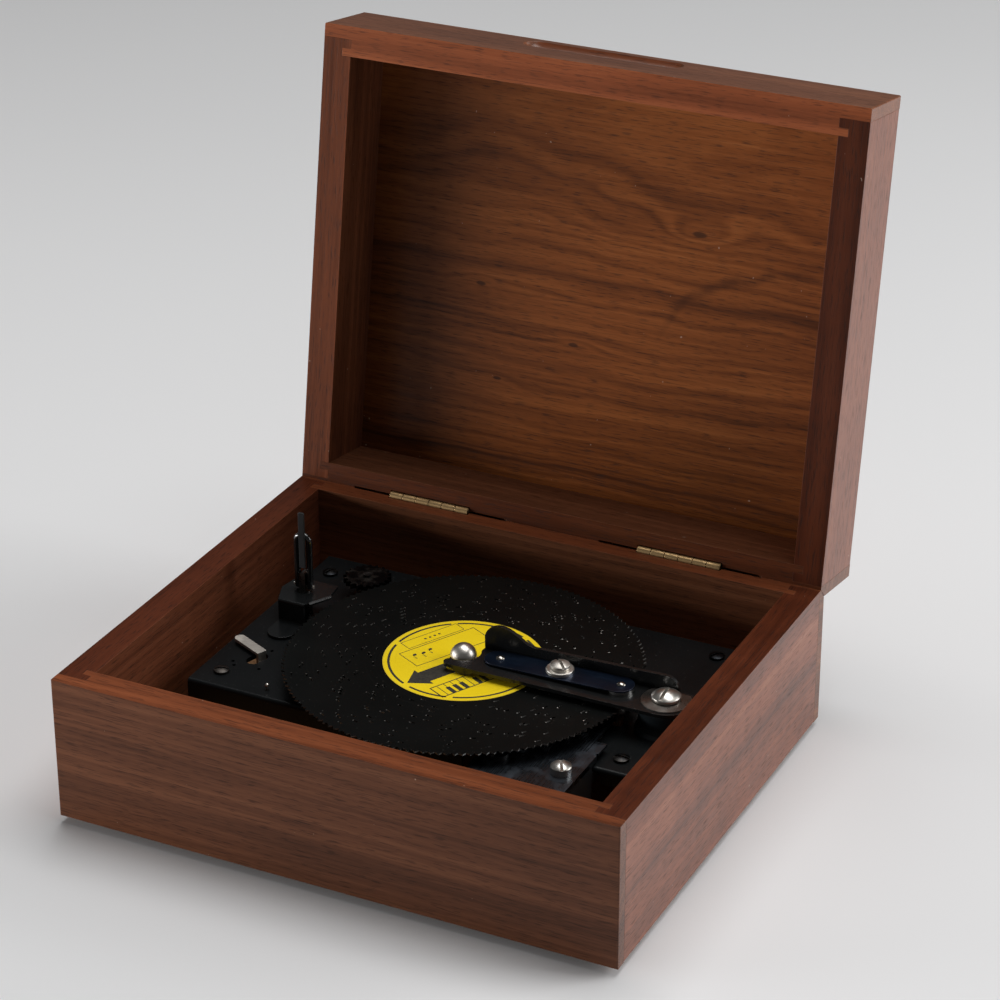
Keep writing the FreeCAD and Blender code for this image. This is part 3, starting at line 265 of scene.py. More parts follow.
def walnut(name, along, across, seed, stops=WALNUT, lid=False, pith=(-0.08, 0.07), line=0.0022,
           waves=0.0035, curl=0.0, knots=(), gloss=0.36, contrast=0.62,
           depth=1.0, rim=0.62, patches=(), bow=None, inner=1.0,
           lacquer=0.04):
    f = Finish(name)
    a, b, c, edge, end = grain_space(f, along, across, lid, seed)
    slow = f.noise(f.stretched(a, b, c, 7, 16))
    quick = f.noise(f.stretched(a, b, c, 40, 90))
    off_b = f.math("SUBTRACT", b, pith[0])
    off_c = f.math("SUBTRACT", c, pith[1])
    ring = f.length_of(off_b, off_c)
    ring = f.math("MULTIPLY_ADD", f.math("SUBTRACT", slow, 0.5), waves, ring)
    ring = f.math("MULTIPLY_ADD", f.math("SUBTRACT", quick, 0.5), waves * 0.16, ring)
    eye = None
    for knot_a, knot_b, size, lift in knots:
        far = spread_from(f, a, b, seed, knot_a, knot_b, size * KNOT_STRETCH, size)
        ring = f.math("MULTIPLY_ADD", f.hill(far), lift, ring)
        core = f.range(far, 0.015, 0.06, 1.0, 0.0, smooth=True)
        eye = core if eye is None else f.math("MAXIMUM", eye, core)
    fine = f.line_noise(ring, 1 / line, 2.0, 0.55)
    broad = f.line_noise(ring, 0.19 / line, 1.0, 0.5)
    streak = f.noise(f.stretched(a, b, c, 26, 900), detail=3.0, rough=0.7)
    cloud = f.noise(f.stretched(a, b, c, 14, 45))
    tone = f.math("ADD", f.math("MULTIPLY", fine, 0.42), f.math("MULTIPLY", broad, 0.40))
    tone = f.math("MULTIPLY_ADD", cloud, 0.30, tone)
    tone = f.math("MULTIPLY_ADD", streak, 0.40, tone)
    if curl:
        across_grain = f.noise(f.stretched(a, b, c, 130, 30), detail=1.0)
        tone = f.math("MULTIPLY_ADD", f.math("SUBTRACT", across_grain, 0.5), curl, tone)
    tone = f.range(tone, 0.76 - 0.28 / contrast, 0.76 + 0.28 / contrast)
    colour = f.ramp(tone, stops)
    pore = f.noise(f.stretched(a, b, c, 190, 2400), detail=1.0)
    pore = f.math("MULTIPLY", f.range(pore, 0.56, 0.66), f.range(streak, 0.35, 0.65, 1.0, 0.45))
    colour = f.mix(f.math("MULTIPLY", pore, 0.62), colour, PORE_DARK)
    if eye is not None:
        colour = f.mix(f.math("MULTIPLY", eye, 0.75), colour, KNOT_DARK)
    if bow:
        colour = f.mix(dark_bow(f, a, b, seed, *bow), colour, BOW_DARK)
    colour = f.mix(f.math("MULTIPLY", edge, 0.8), colour, f.mix(1.0, colour, RIM_TINT, "MULTIPLY"))
    shade = f.math("MULTIPLY_ADD", edge, rim - 1, depth)
    # Painted shade: inner below 1 darkens the board's inward face, standing in for the shade down in the case's
    # well.
    if inner < 1:
        facing = f.split(f.node("ShaderNodeTexCoord").outputs["Normal"])
        inward_shade = f.range(facing[3 - along - across], 0.6, 0.9)
        shade = f.math("MULTIPLY_ADD", inward_shade, inner - 1, shade)
    shade = f.math("MULTIPLY_ADD", end, END_SHADE, shade)
    # Spots that lighten or darken the board; on the front board and for part of the panel they are painted light
    # and shade.
    for mid_a, mid_b, reach_a, reach_b, gain in patches:
        far = spread_from(f, a, b, seed, mid_a, mid_b, reach_a, reach_b)
        shade = f.math("MULTIPLY_ADD", f.hill(far), gain, shade)
    colour = f.tint(colour, shade)
    worn = f.noise(f.place, 260.0, 2.0)
    rubbed = f.math("MULTIPLY", f.edges(0.5 * MM), f.range(worn, 0.38, 0.62))
    colour = f.mix(f.math("MULTIPLY", rubbed, 0.30), colour, RUBBED)
    speck = f.range(f.noise(f.place, 780.0, 0.0), 0.878, 0.890)
    colour = f.mix(f.math("MULTIPLY", speck, 0.5), colour, DUST)
    rough = f.math("ADD", f.math("MULTIPLY", streak, 0.14), f.math("MULTIPLY", pore, 0.20))
    coat = f.math("MULTIPLY_ADD", edge, RIM_LACQUER - lacquer, lacquer)
    coat = f.math("MULTIPLY_ADD", end, END_LACQUER - lacquer, coat)
    f.set(Base_Color=colour, Roughness=f.math("ADD", rough, gloss - 0.06), Coat_Roughness=0.25,
          Coat_Weight=coat, Specular_IOR_Level=0.15)
    relief = f.math("SUBTRACT", f.math("MULTIPLY", streak, 0.25), f.math("MULTIPLY", pore, 0.7))
    f.set(Normal=f.bump(relief, 0.05 * MM, 0.5))
    return f.mat


# ---- metals, paint, paper ----
def painted(name, colour, rough, seed, bare=(0.30, 0.29, 0.27), wear=0.5, peel=0.012, dust=0.0,
            shine=0.3):
    """Enamel on metal: fine orange peel, rubbed edges that show metal, a little dust."""
    f = Finish(name)
    moved = f.vector("ADD", f.place, (0.1 * seed, 0.07 * seed, 0))
    cloud = f.noise(moved, 60.0, 3.0)
    grainy = f.noise(moved, 1700.0, 2.0)
    tone = f.mix(cloud, tuple(0.72 * c for c in colour), tuple(1.45 * c for c in colour))
    rubbed = f.math("MULTIPLY", f.edges(0.22 * MM), f.range(f.noise(moved, 420.0, 3.0), 0.50, 0.66))
    rubbed = f.math("MULTIPLY", rubbed, wear)
    tone = f.mix(rubbed, tone, bare)
    if dust:
        grit = f.range(f.noise(moved, 2300.0, 1.0), 0.74, 0.80)
        tone = f.mix(f.math("MULTIPLY", grit, dust), tone, (0.30, 0.30, 0.29))
    scuff = f.noise(f.vector("MULTIPLY", moved, (900, 60, 300)), 1.0, 2.0)
    f.set(Base_Color=tone, Metallic=f.math("MULTIPLY", rubbed, 0.9), Specular_IOR_Level=shine)
    scuffed = f.math("MULTIPLY_ADD", scuff, 0.10, rough - 0.1)
    f.set(Roughness=f.math("ADD", f.math("MULTIPLY", cloud, 0.12), scuffed))
    f.set(Normal=f.bump(grainy, peel * MM, 0.6))
    return f.mat


def plated(name, colour, rough, seed, stain=(0.30, 0.26, 0.22), stained=0.25, brushed=None, lathe=None,
           painted_shade_below_x=None):
    """Bare or plated metal: tarnish in patches, and fine lines left by brushing or by the lathe."""
    f = Finish(name)
    moved = f.vector("ADD", f.place, (0.13 * seed, 0.05 * seed, 0.02 * seed))
    cloud = f.noise(moved, 140.0, 4.0, 0.6)
    spots = f.range(cloud, 0.48, 0.72)
    tone = f.mix(f.math("MULTIPLY", spots, stained), colour, stain)
    lines = f.noise(moved, 2600.0, 2.0)
    if brushed is not None:
        lines = f.noise(f.vector("MULTIPLY", moved, brushed), 1.0, 2.0, 0.6)
    if lathe is not None:
        rel = f.vector("SUBTRACT", f.place, (lathe[0], lathe[1], 0))
        rel = f.vector("MULTIPLY", rel, (1, 1, 0))
        lines = f.line_noise(f.vector("LENGTH", rel, out=1), 6500.0, 2.0, 0.6)
    tone = f.tint(tone, f.range(lines, 0.2, 0.8, 0.86, 1.08))
    wear = f.math("MULTIPLY", f.edges(0.2 * MM), 0.5)
    tone = f.mix(wear, tone, tuple(min(1.0, 1.25 * c + 0.05) for c in colour))
    # Painted shade: below this x, under the disc's edge, the metal is turned near black to stand in for the shade
    # there.
    if painted_shade_below_x is not None:
        painted_shade_mask = f.range(f.split(f.place)[0], painted_shade_below_x, painted_shade_below_x + MM, 0.96, 0.0)
        tone = f.mix(painted_shade_mask, tone, (0.02, 0.02, 0.021))
    f.set(Base_Color=tone, Metallic=1.0)
    lined = f.math("MULTIPLY_ADD", lines, 0.12, rough - 0.05)
    f.set(Roughness=f.math("ADD", f.math("MULTIPLY", spots, 0.18), lined))
    f.set(Normal=f.bump(lines, 0.006 * MM, 0.5))
    return f.mat


def disc_paint():
    """Thin black enamel with faint ring scratches, and bare steel where the prongs were punched."""
    f = Finish("disc_enamel")
    rel = f.vector("MULTIPLY", f.vector("SUBTRACT", f.place, tuple(SPIN)), (1, 1, 0))
    rings = f.line_noise(f.vector("LENGTH", rel, out=1), 2600.0, 3.0, 0.7)
    cloud = f.noise(f.place, 45.0, 3.0)
    tone = f.mix(cloud, (0.0026, 0.0029, 0.0028), (0.0050, 0.0055, 0.0052))
    mark = f.math("MULTIPLY", f.range(rings, 0.66, 0.74), f.range(f.noise(f.place, 35.0, 2.0), 0.48, 0.62))
    tone = f.mix(f.math("MULTIPLY", mark, 0.10), tone, (0.10, 0.10, 0.095))
    up = f.split(f.node("ShaderNodeNewGeometry").outputs["Normal"])[2]
    wall = f.range(f.math("ABSOLUTE", up), 0.5, 0.9, 1.0, 0.0)
    chipped = f.math("MULTIPLY", wall, f.range(f.noise(f.place, 700.0, 2.0), 0.42, 0.60))
    tone = f.mix(f.math("MULTIPLY", chipped, 0.85), tone, (0.34, 0.33, 0.31))
    grit = f.range(f.noise(f.place, 1500.0, 1.0), 0.755, 0.80)
    tone = f.mix(f.math("MULTIPLY", grit, 0.30), tone, (0.30, 0.30, 0.29))
    f.set(Base_Color=tone, Metallic=f.math("MULTIPLY", chipped, 0.6))
    ringed = f.math("MULTIPLY_ADD", rings, 0.10, 0.24)
    f.set(Roughness=f.math("ADD", f.math("MULTIPLY", cloud, 0.14), ringed))
    f.set(Normal=f.bump(f.noise(f.place, 1900.0, 2.0), 0.010 * MM, 0.5), Specular_IOR_Level=0.09)
    return f.mat


def label_paper():
    """Yellow coated paper, a little rubbed, darker at its cut edge."""
    f = Finish("label_paper")
    rel = f.vector("MULTIPLY", f.vector("SUBTRACT", f.place, tuple(SPIN)), (1, 1, 0))
    radius = f.vector("LENGTH", rel, out=1)
    cloud = f.noise(f.place, 90.0, 3.0)
    fibre = f.noise(f.place, 2400.0, 3.0, 0.7)
    tone = f.mix(cloud, (0.92, 0.65, 0.008), (0.96, 0.72, 0.016))
    tone = f.tint(tone, f.range(fibre, 0.2, 0.8, 0.93, 1.04))
    rub = f.math("MULTIPLY", f.range(f.line_noise(radius, 900.0, 2.0), 0.60, 0.70),
                 f.range(f.noise(f.place, 60.0, 1.0), 0.50, 0.64))
    tone = f.mix(f.math("MULTIPLY", rub, 0.35), tone, (0.62, 0.36, 0.02))
    rim = f.range(radius, 24.9 * MM, 25.5 * MM)
    tone = f.mix(f.math("MULTIPLY", rim, 0.35), tone, (0.55, 0.40, 0.10))
    f.set(Base_Color=tone, Roughness=f.range(cloud, 0.2, 0.8, 0.34, 0.48), Specular_IOR_Level=0.2)
    f.set(Normal=f.bump(fibre, 0.01 * MM, 0.5))
    return f.mat


def label_ink():
    f = Finish("label_ink")
    patchy = f.noise(f.place, 1600.0, 3.0, 0.7)
    tone = f.mix(f.range(patchy, 0.35, 0.75), (0.012, 0.012, 0.011), (0.055, 0.048, 0.028))
    f.set(Base_Color=tone, Roughness=f.range(patchy, 0.2, 0.8, 0.40, 0.60))
    f.set(Normal=f.bump(patchy, 0.005 * MM, 0.5))
    return f.mat


def blued():
    """Spring steel blued by heat: deep blue that turns brown and straw towards its edges."""
    f = Finish("blued_steel")
    cloud = f.noise(f.place, 85.0, 3.0)
    lines = f.noise(f.vector("MULTIPLY", f.place, (60, 3000, 900)), 1.0, 2.0)
    tone = f.ramp(cloud, [(0.25, (0.036, 0.060, 0.105)), (0.5, (0.020, 0.034, 0.068)),
                          (0.78, (0.030, 0.031, 0.042))])
    rim = f.math("MULTIPLY", f.edges(0.35 * MM), 0.6)
    tone = f.mix(rim, tone, (0.20, 0.18, 0.17))
    tone = f.tint(tone, f.range(lines, 0.2, 0.8, 0.9, 1.1))
    f.set(Base_Color=tone, Metallic=1.0, Roughness=f.range(lines, 0.2, 0.8, 0.30, 0.40))
    f.set(Normal=f.bump(lines, 0.002 * MM, 0.3))
    return f.mat


def felt():
    f = Finish("felt")
    hair = f.noise(f.place, 2200.0, 4.0, 0.7)
    tone = f.mix(hair, (0.02, 0.018, 0.016), (0.10, 0.085, 0.075))
    f.set(Base_Color=tone, Roughness=0.95, Sheen_Weight=0.3)
    f.set(Normal=f.bump(hair, 0.15 * MM))
    return f.mat


def plain_board():
    """The thin bottom board: a pale veneer, unlacquered."""
    f = Finish("bottom_board")
    x, y, z = f.split(f.place)
    line = f.noise(f.stretched(x, y, z, 18, 700), detail=3.0)
    wide = f.noise(f.join(f.math("MULTIPLY", x, 5), f.math("MULTIPLY", y, 60), z))
    tone = f.ramp(f.math("ADD", f.math("MULTIPLY", line, 0.6), f.math("MULTIPLY", wide, 0.4)),
                  [(0.3, (0.24, 0.120, 0.048)), (0.7, (0.42, 0.225, 0.100))])
    f.set(Base_Color=tone, Roughness=0.62)
    f.set(Normal=f.bump(line, 0.04 * MM, 0.6))
    return f.mat


STEEL_GREY = (0.46, 0.46, 0.45)
NICKEL = (0.66, 0.63, 0.58)
BRASS = (0.62, 0.43, 0.17)
black = dict(bare=(0.22, 0.22, 0.21))

# Spots on a board: along, across, reach along, reach across, gain in lightness; knots: along, across,
# size, lift of the rings; the bow: along, across, radius, and where it starts and stops along.
# The knots' places and the bow's numbers came from scratch scripts that carried spots picked by eye on the photo
# over to the panel. The patches and the knots' sizes and lifts were chosen one by one.
# The front board's two spots are painted light and shade: lighter at the left end and darker at the right, as the
# light from the left falls.
FRONT_PAINTED_LIGHT = ((-0.110, 0.040, 0.060, 0.2, 0.22), (0.100, 0.040, 0.060, 0.2, -0.14))
# On the panel, the second, third and fourth spots are painted shade: the dark band along the left board, the
# darker top left and the darker lower right. The first and last spots are lighter and darker tone in the figure.
PANEL_FIGURE_AND_PAINTED_SHADE = ((0.005, -0.012, 0.040, 0.032, 0.20), (-0.087, -0.015, 0.036, 0.090, -0.50),
                 (-0.055, -0.068, 0.050, 0.022, -0.25), (0.062, 0.036, 0.046, 0.036, -0.40),
                 (-0.050, 0.055, 0.040, 0.028, -0.20))
PANEL_KNOTS = ((0.0335, -0.0493, 0.0050, -0.0035), (-0.0081, -0.0045, 0.0035, 0.0020),
               (-0.0351, 0.0120, 0.0030, 0.0015), (-0.0435, -0.0197, 0.0035, 0.0020))
PANEL_BOW = (0.070, 0.015, 0.0561, -0.050, 0.010)

finishes = {
    "base_front_board": walnut("front_walnut", 0, 2, 1.0, pith=(-0.10, 0.05), depth=0.9, rim=1.15,
                               patches=FRONT_PAINTED_LIGHT),
    "base_back_board": walnut("back_walnut", 0, 2, 5.3, pith=(-0.09, 0.06), rim=0.9),
    # inner=0.62 paints shade on the left board's inward face.
    "base_left_board": walnut("left_walnut", 1, 2, 8.1, ROSY, pith=(-0.07, 0.04), curl=0.12, rim=0.36,
                              inner=0.62),
    "base_right_board": walnut("right_walnut", 1, 2, 3.7, ROSY, pith=(-0.06, 0.05), waves=0.006, curl=0.22,
                               rim=0.42, lacquer=0.5),
    # Painted reflection: depth and rim are raised to stand in for the bright floor behind, which this board's
    # upward face mirrors.
    "lid_front_board": walnut("lid_front_walnut", 0, 2, 6.4, lid=True, pith=(-0.07, 0.05), depth=1.25,
                               rim=1.55, lacquer=0.6),
    "lid_back_board": walnut("lid_back_walnut", 0, 2, 9.6, lid=True, pith=(-0.09, 0.05)),
    "lid_left_board": walnut("lid_left_walnut", 1, 2, 2.2, lid=True, pith=(-0.07, 0.05), depth=1.35,
                              rim=0.76),
    "lid_right_board": walnut("lid_right_walnut", 1, 2, 7.5, ROSY, lid=True, pith=(-0.06, 0.05), curl=0.15,
                               rim=0.32, lacquer=0.5),
    "lid_top_panel": walnut("panel_walnut", 0, 1, 4.9, FIGURED, lid=True, pith=(-0.03, 0.034), line=0.0022,
                            waves=0.019, knots=PANEL_KNOTS, gloss=0.33, contrast=0.82, bow=PANEL_BOW,
                            patches=PANEL_FIGURE_AND_PAINTED_SHADE),
    "base_bottom_panel": plain_board(),
    "feet": felt(),
    "disc": disc_paint(),
    "disc_label": label_paper(),
    "blade_spring": blued(),
    "bedplate": painted("bed_enamel", (0.0045, 0.0055, 0.0060), 0.34, 1, wear=0.35, dust=0.35,
                        shine=0.2, **black),
    "edge_guide": painted("guide_enamel", (0.0070, 0.0078, 0.0082), 0.22, 2, wear=0.6, shine=0.5, **black),
    "pressure_arm": painted("arm_enamel", (0.0080, 0.0083, 0.0085), 0.24, 3, wear=0.9, shine=0.45, **black),
    "arm_post": painted("post_enamel", (0.012, 0.016, 0.019), 0.32, 4, wear=0.3, **black),
    "roller_hangers": plated("hanger_steel", (0.40, 0.37, 0.33), 0.22, 5),
    "key_bow": painted("key_enamel", (0.0050, 0.0055, 0.0060), 0.12, 6, wear=0.5,
                       bare=(0.4, 0.38, 0.35), shine=0.8),
    "key_strip": painted("strip_enamel", (0.022, 0.023, 0.024), 0.35, 7, wear=0.4, **black),
    "comb_base": painted("comb_base_grey", (0.020, 0.022, 0.024), 0.30, 8, wear=0.4, peel=0.008),
    "comb": plated("comb_steel", (0.10, 0.115, 0.135), 0.26, 9, stain=(0.07, 0.075, 0.09), stained=0.10,
                   brushed=(2600, 60, 300)),
    "spindle": plated("knob_nickel", (0.66, 0.62, 0.57), 0.32, 10, lathe=tuple(SPIN)[:2], stained=0.15),
    "arm_pivot_screw": plated("pivot_nickel", NICKEL, 0.30, 11, lathe=tuple(PIVOT)[:2]),
    "arm_spring_washer": plated("washer_steel", (0.22, 0.20, 0.18), 0.28, 12, stain=(0.12, 0.10, 0.10)),
    "stop_lever": plated("lever_nickel", (0.80, 0.75, 0.68), 0.42, 13, stained=0.1,
                         brushed=(300, 2400, 300)),
    "mainspring": plated("spring_steel", (0.16, 0.17, 0.20), 0.30, 14),
    "bed_screws": plated("blackened_screw", (0.016, 0.017, 0.019), 0.34, 21, stained=0.3),
    "rim_sprocket": plated("blackened_gear", (0.008, 0.008, 0.009), 0.38, 22, stained=0.3),
    "drive_arbor": plated("blackened_arbor", (0.030, 0.030, 0.032), 0.36, 23, stained=0.3),
    "winding_arbor": plated("arbor_steel", (0.11, 0.11, 0.11), 0.20, 24, stained=0.3),
    # The lower comb screw gets painted shade where it sits under the disc's edge.
    "comb_screws": plated("comb_screw_nickel", NICKEL, 0.30, 25, stained=0.2, painted_shade_below_x=0.0475),
    "star_wheels": plated("star_steel", STEEL_GREY, 0.30, 15),
}
by_slot = {
    "hinge_brass": plated("hinge_brass", (0.58, 0.39, 0.19), 0.38, 16, stain=(0.10, 0.065, 0.03),
                          stained=0.75),
    "gear_brass": plated("gear_brass", BRASS, 0.28, 17, stain=(0.26, 0.15, 0.06), stained=0.45),
    "screw_nickel": plated("screw_nickel", NICKEL, 0.31, 18, stained=0.3),
    "steel": plated("turned_steel", STEEL_GREY, 0.28, 19),
}


def dress(piece, material):
    piece.data.materials.clear()
    piece.data.materials.append(material)


for node, piece in nodes.items():
    dress(piece, finishes.get(node) or by_slot[slot_of[node]])


def new_piece(name, bm):
    mesh = bpy.data.meshes.new(name)
    bm.to_mesh(mesh)
    bm.free()
    piece = bpy.data.objects.new(name, mesh)
    bpy.context.scene.collection.objects.link(piece)
    return piece


# ---- pieces whose edges are rounded here ----
def soften(node, width):
    """A copy of a CAD piece with its sharp edges rounded over, shown in its place."""
    mesh = nodes[node].data.copy()
    if "custom_normal" in mesh.attributes:
        mesh.attributes.remove(mesh.attributes["custom_normal"])
    bm = bmesh.new()
    bm.from_mesh(mesh)
    bmesh.ops.remove_doubles(bm, verts=bm.verts, dist=2e-6)
    bmesh.ops.dissolve_limit(bm, angle_limit=math.radians(1), verts=bm.verts, edges=bm.edges)
    for face in bm.faces:
        face.smooth = True
    bm.to_mesh(mesh)
    bm.free()
    piece = bpy.data.objects.new(node + "_eased", mesh)
    bpy.context.scene.collection.objects.link(piece)
    bevel = piece.modifiers.new("eased", "BEVEL")
    bevel.width = width
    bevel.segments = 2
    bevel.limit_method = "ANGLE"
    bevel.angle_limit = math.radians(38)
    even = piece.modifiers.new("even", "WEIGHTED_NORMAL")
    even.weight = 100
    bpy.context.view_layer.update()
    graph = bpy.context.evaluated_depsgraph_get()
    piece.data = bpy.data.meshes.new_from_object(piece.evaluated_get(graph))
    piece.modifiers.clear()
    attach(piece, body_of[node])
    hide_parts(node)
    return piece


BOARD_EDGE = 0.09 * MM
PLATE_EDGE = 0.14 * MM
SCREW_EDGE = 0.12 * MM
eased = {n: BOARD_EDGE for n in nodes if n.startswith(("base_", "lid_")) and n.endswith("_board")}
eased.update({n: PLATE_EDGE for n in ("bedplate", "pressure_arm", "edge_guide", "stop_lever",
                                      "blade_spring", "comb_base", "key_strip")})
eased.update({n: SCREW_EDGE for n in ("hinge_base_leaves", "hinge_lid_leaves", "arm_pivot_screw",
                                       "blade_screw", "comb_screws", "bed_screws")})
for node, width in eased.items():
    soften(node, width)


# ---- bright burrs where the prongs were punched through the disc ----
BURR = Vector((0.24, 0.13, 0.045)) * MM
BURR_BACK = 0.95 * MM  # from the slot's middle to the burr
SLOT_FACES = 20  # a slot has fewer wall faces than this; the rim and the bore have more
DISC_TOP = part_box("disc")[1].z


def punched_slots():
    """Middle of each slot in the disc, from its wall faces."""
    bm = bmesh.new()
    bm.from_mesh(nodes["disc"].data)
    bmesh.ops.remove_doubles(bm, verts=bm.verts, dist=2e-6)
    lowest = DISC_TOP - 0.5 * MM
    walls = [f for f in bm.faces if abs(f.normal.z) < 0.5 and f.calc_center_median().z > lowest]
    waiting = set(walls)  # for membership only: its order can differ between runs
    spots = []
    for first in walls:
        if first not in waiting:
            continue
        waiting.discard(first)
        heap = [first]
        group = list(heap)
        while heap:
            for edge in heap.pop().edges:
                for face in edge.link_faces:
                    if face in waiting:
                        waiting.discard(face)
                        heap.append(face)
                        group.append(face)
        middle = sum((f.calc_center_median() for f in group), Vector()) / len(group)
        if len(group) < SLOT_FACES:
            spots.append(middle)
    bm.free()
    return spots


def burrs():
    bm = bmesh.new()
    for spot in punched_slots():
        out = (spot - SPIN) * Vector((1, 1, 0))
        out.normalize()
        along = Vector((-out.y, out.x, 0))
        foot = spot - along * BURR_BACK
        foot.z = DISC_TOP
        corners = []
        for a, b, c in ((-1, -1, 0), (1, -1, 0), (1, 1, 0), (-1, 1, 0), (-1, 1, 1), (1, 1, 1)):
            level = Vector((0, 0, c * BURR.z))
            corners.append(bm.verts.new(foot + out * a * BURR.x + along * b * BURR.y + level))
        for order in ((3, 2, 1, 0), (0, 1, 5, 4), (3, 4, 5, 2), (0, 4, 3), (1, 2, 5)):
            bm.faces.new([corners[k] for k in order])
    bmesh.ops.recalc_face_normals(bm, faces=bm.faces)
    piece = new_piece("disc_burrs", bm)
    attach(piece, "music_disc")
    return piece


def burr_steel():
    f = Finish("burr_steel")
    bright = f.range(f.noise(f.place, 300.0, 2.0), 0.35, 0.65)
    f.set(Base_Color=f.mix(bright, (0.06, 0.06, 0.06), (0.62, 0.61, 0.58)), Metallic=1.0, Roughness=0.42)
    f.set(Normal=f.bump(f.noise(f.place, 4000.0, 1.0), 0.01 * MM, 0.4))
    return f.mat


dress(burrs(), burr_steel())


# ---- the label's printing ----
PRINT_TURN = math.radians(-117.6)
INK = 0.02 * MM


def flat_shapes(name, shapes, base_z, thick):
    """Closed flat shapes, given as outlines in millimetres in the label's own directions."""
    bm = bmesh.new()
    turn = Matrix.Rotation(PRINT_TURN, 3, "Z")
    for outline in shapes:
        low = []
        for x, y in outline:
            spot = turn @ Vector((x * MM, y * MM, 0))
            low.append(bm.verts.new((SPIN.x + spot.x, SPIN.y + spot.y, base_z)))
        face = bm.faces.new(low)
        grown = bmesh.ops.extrude_face_region(bm, geom=[face])["geom"]
        tops = [v for v in grown if isinstance(v, bmesh.types.BMVert)]
        bmesh.ops.translate(bm, verts=tops, vec=(0, 0, thick))
    bmesh.ops.recalc_face_normals(bm, faces=bm.faces)
    return new_piece(name, bm)


def bar(x0, y0, x1, y1):
    return [(x0, y0), (x1, y0), (x1, y1), (x0, y1)]


def frame_bars(x0, y0, x1, y1, w):
    return [bar(x0, y0, x1, y0 + w), bar(x0, y1 - w, x1, y1), bar(x0, y0 + w, x0 + w, y1 - w),
            bar(x1 - w, y0 + w, x1, y1 - w)]


def arc_band(radius, width, start, end):
    steps = max(2, int((end - start) / 2))
    angles = [math.radians(start + (end - start) * i / steps) for i in range(steps + 1)]
    outer = [((radius + width / 2) * math.cos(t), (radius + width / 2) * math.sin(t)) for t in angles]
    inner = [((radius - width / 2) * math.cos(t), (radius - width / 2) * math.sin(t)) for t in angles]
    return [[outer[i], outer[i + 1], inner[i + 1], inner[i]] for i in range(steps)]


def oval(x, y, rx, ry, lean=0.0, steps=20):
    angles = [2 * math.pi * i / steps for i in range(steps)]
    pts = [(rx * math.cos(t), ry * math.sin(t)) for t in angles]
    c, s = math.cos(lean), math.sin(lean)
    return [(x + c * p - s * q, y + s * p + c * q) for p, q in pts]


def note(x, y, size):
    """A quaver: a leaning head, a stem and a short flag."""
    stem = bar(x + 0.42 * size, y, x + 0.52 * size, y + 1.7 * size)
    flag = [(x + 0.52 * size, y + 1.7 * size), (x + 0.52 * size, y + 1.35 * size),
            (x + 0.95 * size, y + 0.8 * size)]
    return [oval(x, y, 0.52 * size, 0.36 * size, 0.35), stem, flag]


ARROW_Y = 1.4
arrow = [(6.2, ARROW_Y - 3.3), (16.2, ARROW_Y - 3.3), (16.2, ARROW_Y - 5.2), (22.6, ARROW_Y),
         (16.2, ARROW_Y + 5.2), (16.2, ARROW_Y + 3.3), (6.2, ARROW_Y + 3.3), (7.4, ARROW_Y)]
ink = [arrow]
ink += frame_bars(-11.8, -20.7, 9.8, -16.0, 0.22)
ink += frame_bars(-14.8, -15.3, 14.2, -5.3, 0.26)
for start, end in ((-178, -121), (-116, -66), (-61, 2), (9, 41), (46, 176)):
    ink += arc_band(23.6, 0.8, start, end)
for k in range(3):
    ink += note(4.5 + 3.0 * k, -11.8 + 0.6 * (k % 2), 1.5)
for k in range(4):
    ink.append(oval(-3.6 + 1.8 * k, -18.3, 0.42, 0.42, steps=12))
KEYS_X, KEYS_Y, KEY_W, KEY_H = -1.0, 8.2, 2.5, 7.0
ink += frame_bars(KEYS_X, KEYS_Y, KEYS_X + 8 * KEY_W, KEYS_Y + KEY_H, 0.4)
for k in range(1, 8):
    x = KEYS_X + k * KEY_W
    raised = k % 7 not in (0, 3)
    ink.append(bar(x - 0.12, KEYS_Y + 0.4, x + 0.12, KEYS_Y + (2.6 if raised else KEY_H - 0.4)))
    if raised:
        ink.append(bar(x - 0.75, KEYS_Y + 2.6, x + 0.75, KEYS_Y + KEY_H - 0.4))
printing = flat_shapes("label_print", ink, LABEL_TOP - 0.3 * INK, INK)
dress(printing, label_ink())
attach(printing, "music_disc")

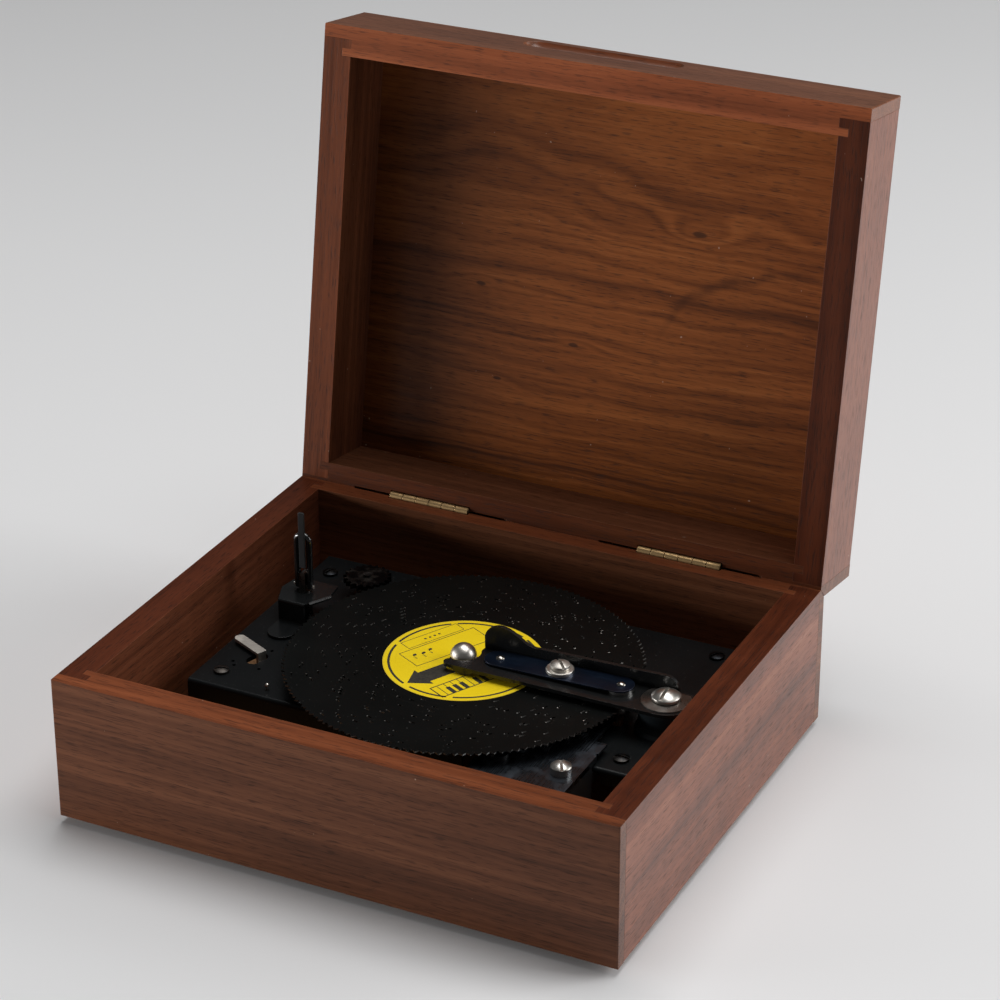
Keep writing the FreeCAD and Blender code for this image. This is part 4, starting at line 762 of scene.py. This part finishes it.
# ---- floor, light and camera ----
bpy.ops.mesh.primitive_plane_add(size=9, location=(0, 0, 0))
floor = bpy.context.object
floor.name = "floor"
ground = Finish("floor_paper")
paper = ground.mix(ground.noise(ground.place, 3.0, 2.0), (0.82, 0.82, 0.825), (0.86, 0.86, 0.865))
# Painted shade: the paper darkens towards the back, standing in for the light falling off with distance.
paper = ground.tint(paper, ground.range(ground.split(ground.place)[1], -0.25, 0.85, 1.0, 0.82, smooth=True))
ground.set(Base_Color=paper, Roughness=0.85)
dress(floor, ground.mat)


def softbox(name, place, aim, size, power, spread=180):
    data = bpy.data.lights.new(name, "AREA")
    data.shape = "RECTANGLE"
    data.size, data.size_y = size
    data.energy = power
    data.spread = math.radians(spread)
    lamp = bpy.data.objects.new(name, data)
    lamp.location = place
    lamp.rotation_euler = (Vector(aim) - Vector(place)).to_track_quat("-Z", "Y").to_euler()
    bpy.context.scene.collection.objects.link(lamp)


softbox("overhead", (0.12, 0.36, 1.90), (0.02, 0.02, 0), (1.7, 1.0), 24)
softbox("right_back", (1.25, 0.63, 0.60), (0, 0, 0.05), (0.85, 0.8), 13.5)
softbox("left_front", (-1.45, -0.62, 0.15), (0, 0, 0.12), (1.2, 0.28), 3.0, 60)
world = bpy.data.worlds.new("studio")
bpy.context.scene.world = world
world.use_nodes = True
world.node_tree.nodes["Background"].inputs["Color"].default_value = (1, 1, 1, 1)
world.node_tree.nodes["Background"].inputs["Strength"].default_value = 0.07

bpy.context.scene.view_settings.view_transform = "Standard"
lens = bpy.data.cameras.new("camera")
lens.lens = 116.1
lens.sensor_width = 36
camera = bpy.data.objects.new("camera", lens)
# the photo's camera, which a scratch script solved from the case's corners
VIEW_FROM = Vector((0.4034, -0.8088, 0.5392))
VIEW_ALONG = Vector((-0.39385, 0.80257, -0.44807))
VIEW_UP = Vector((-0.19630, 0.40278, 0.89400))
right = VIEW_ALONG.cross(VIEW_UP).normalized()
up = right.cross(VIEW_ALONG).normalized()
turn = Matrix((right, up, -VIEW_ALONG.normalized())).transposed()
camera.matrix_world = Matrix.Translation(VIEW_FROM) @ turn.to_4x4()
bpy.context.scene.collection.objects.link(camera)
bpy.context.scene.camera = camera
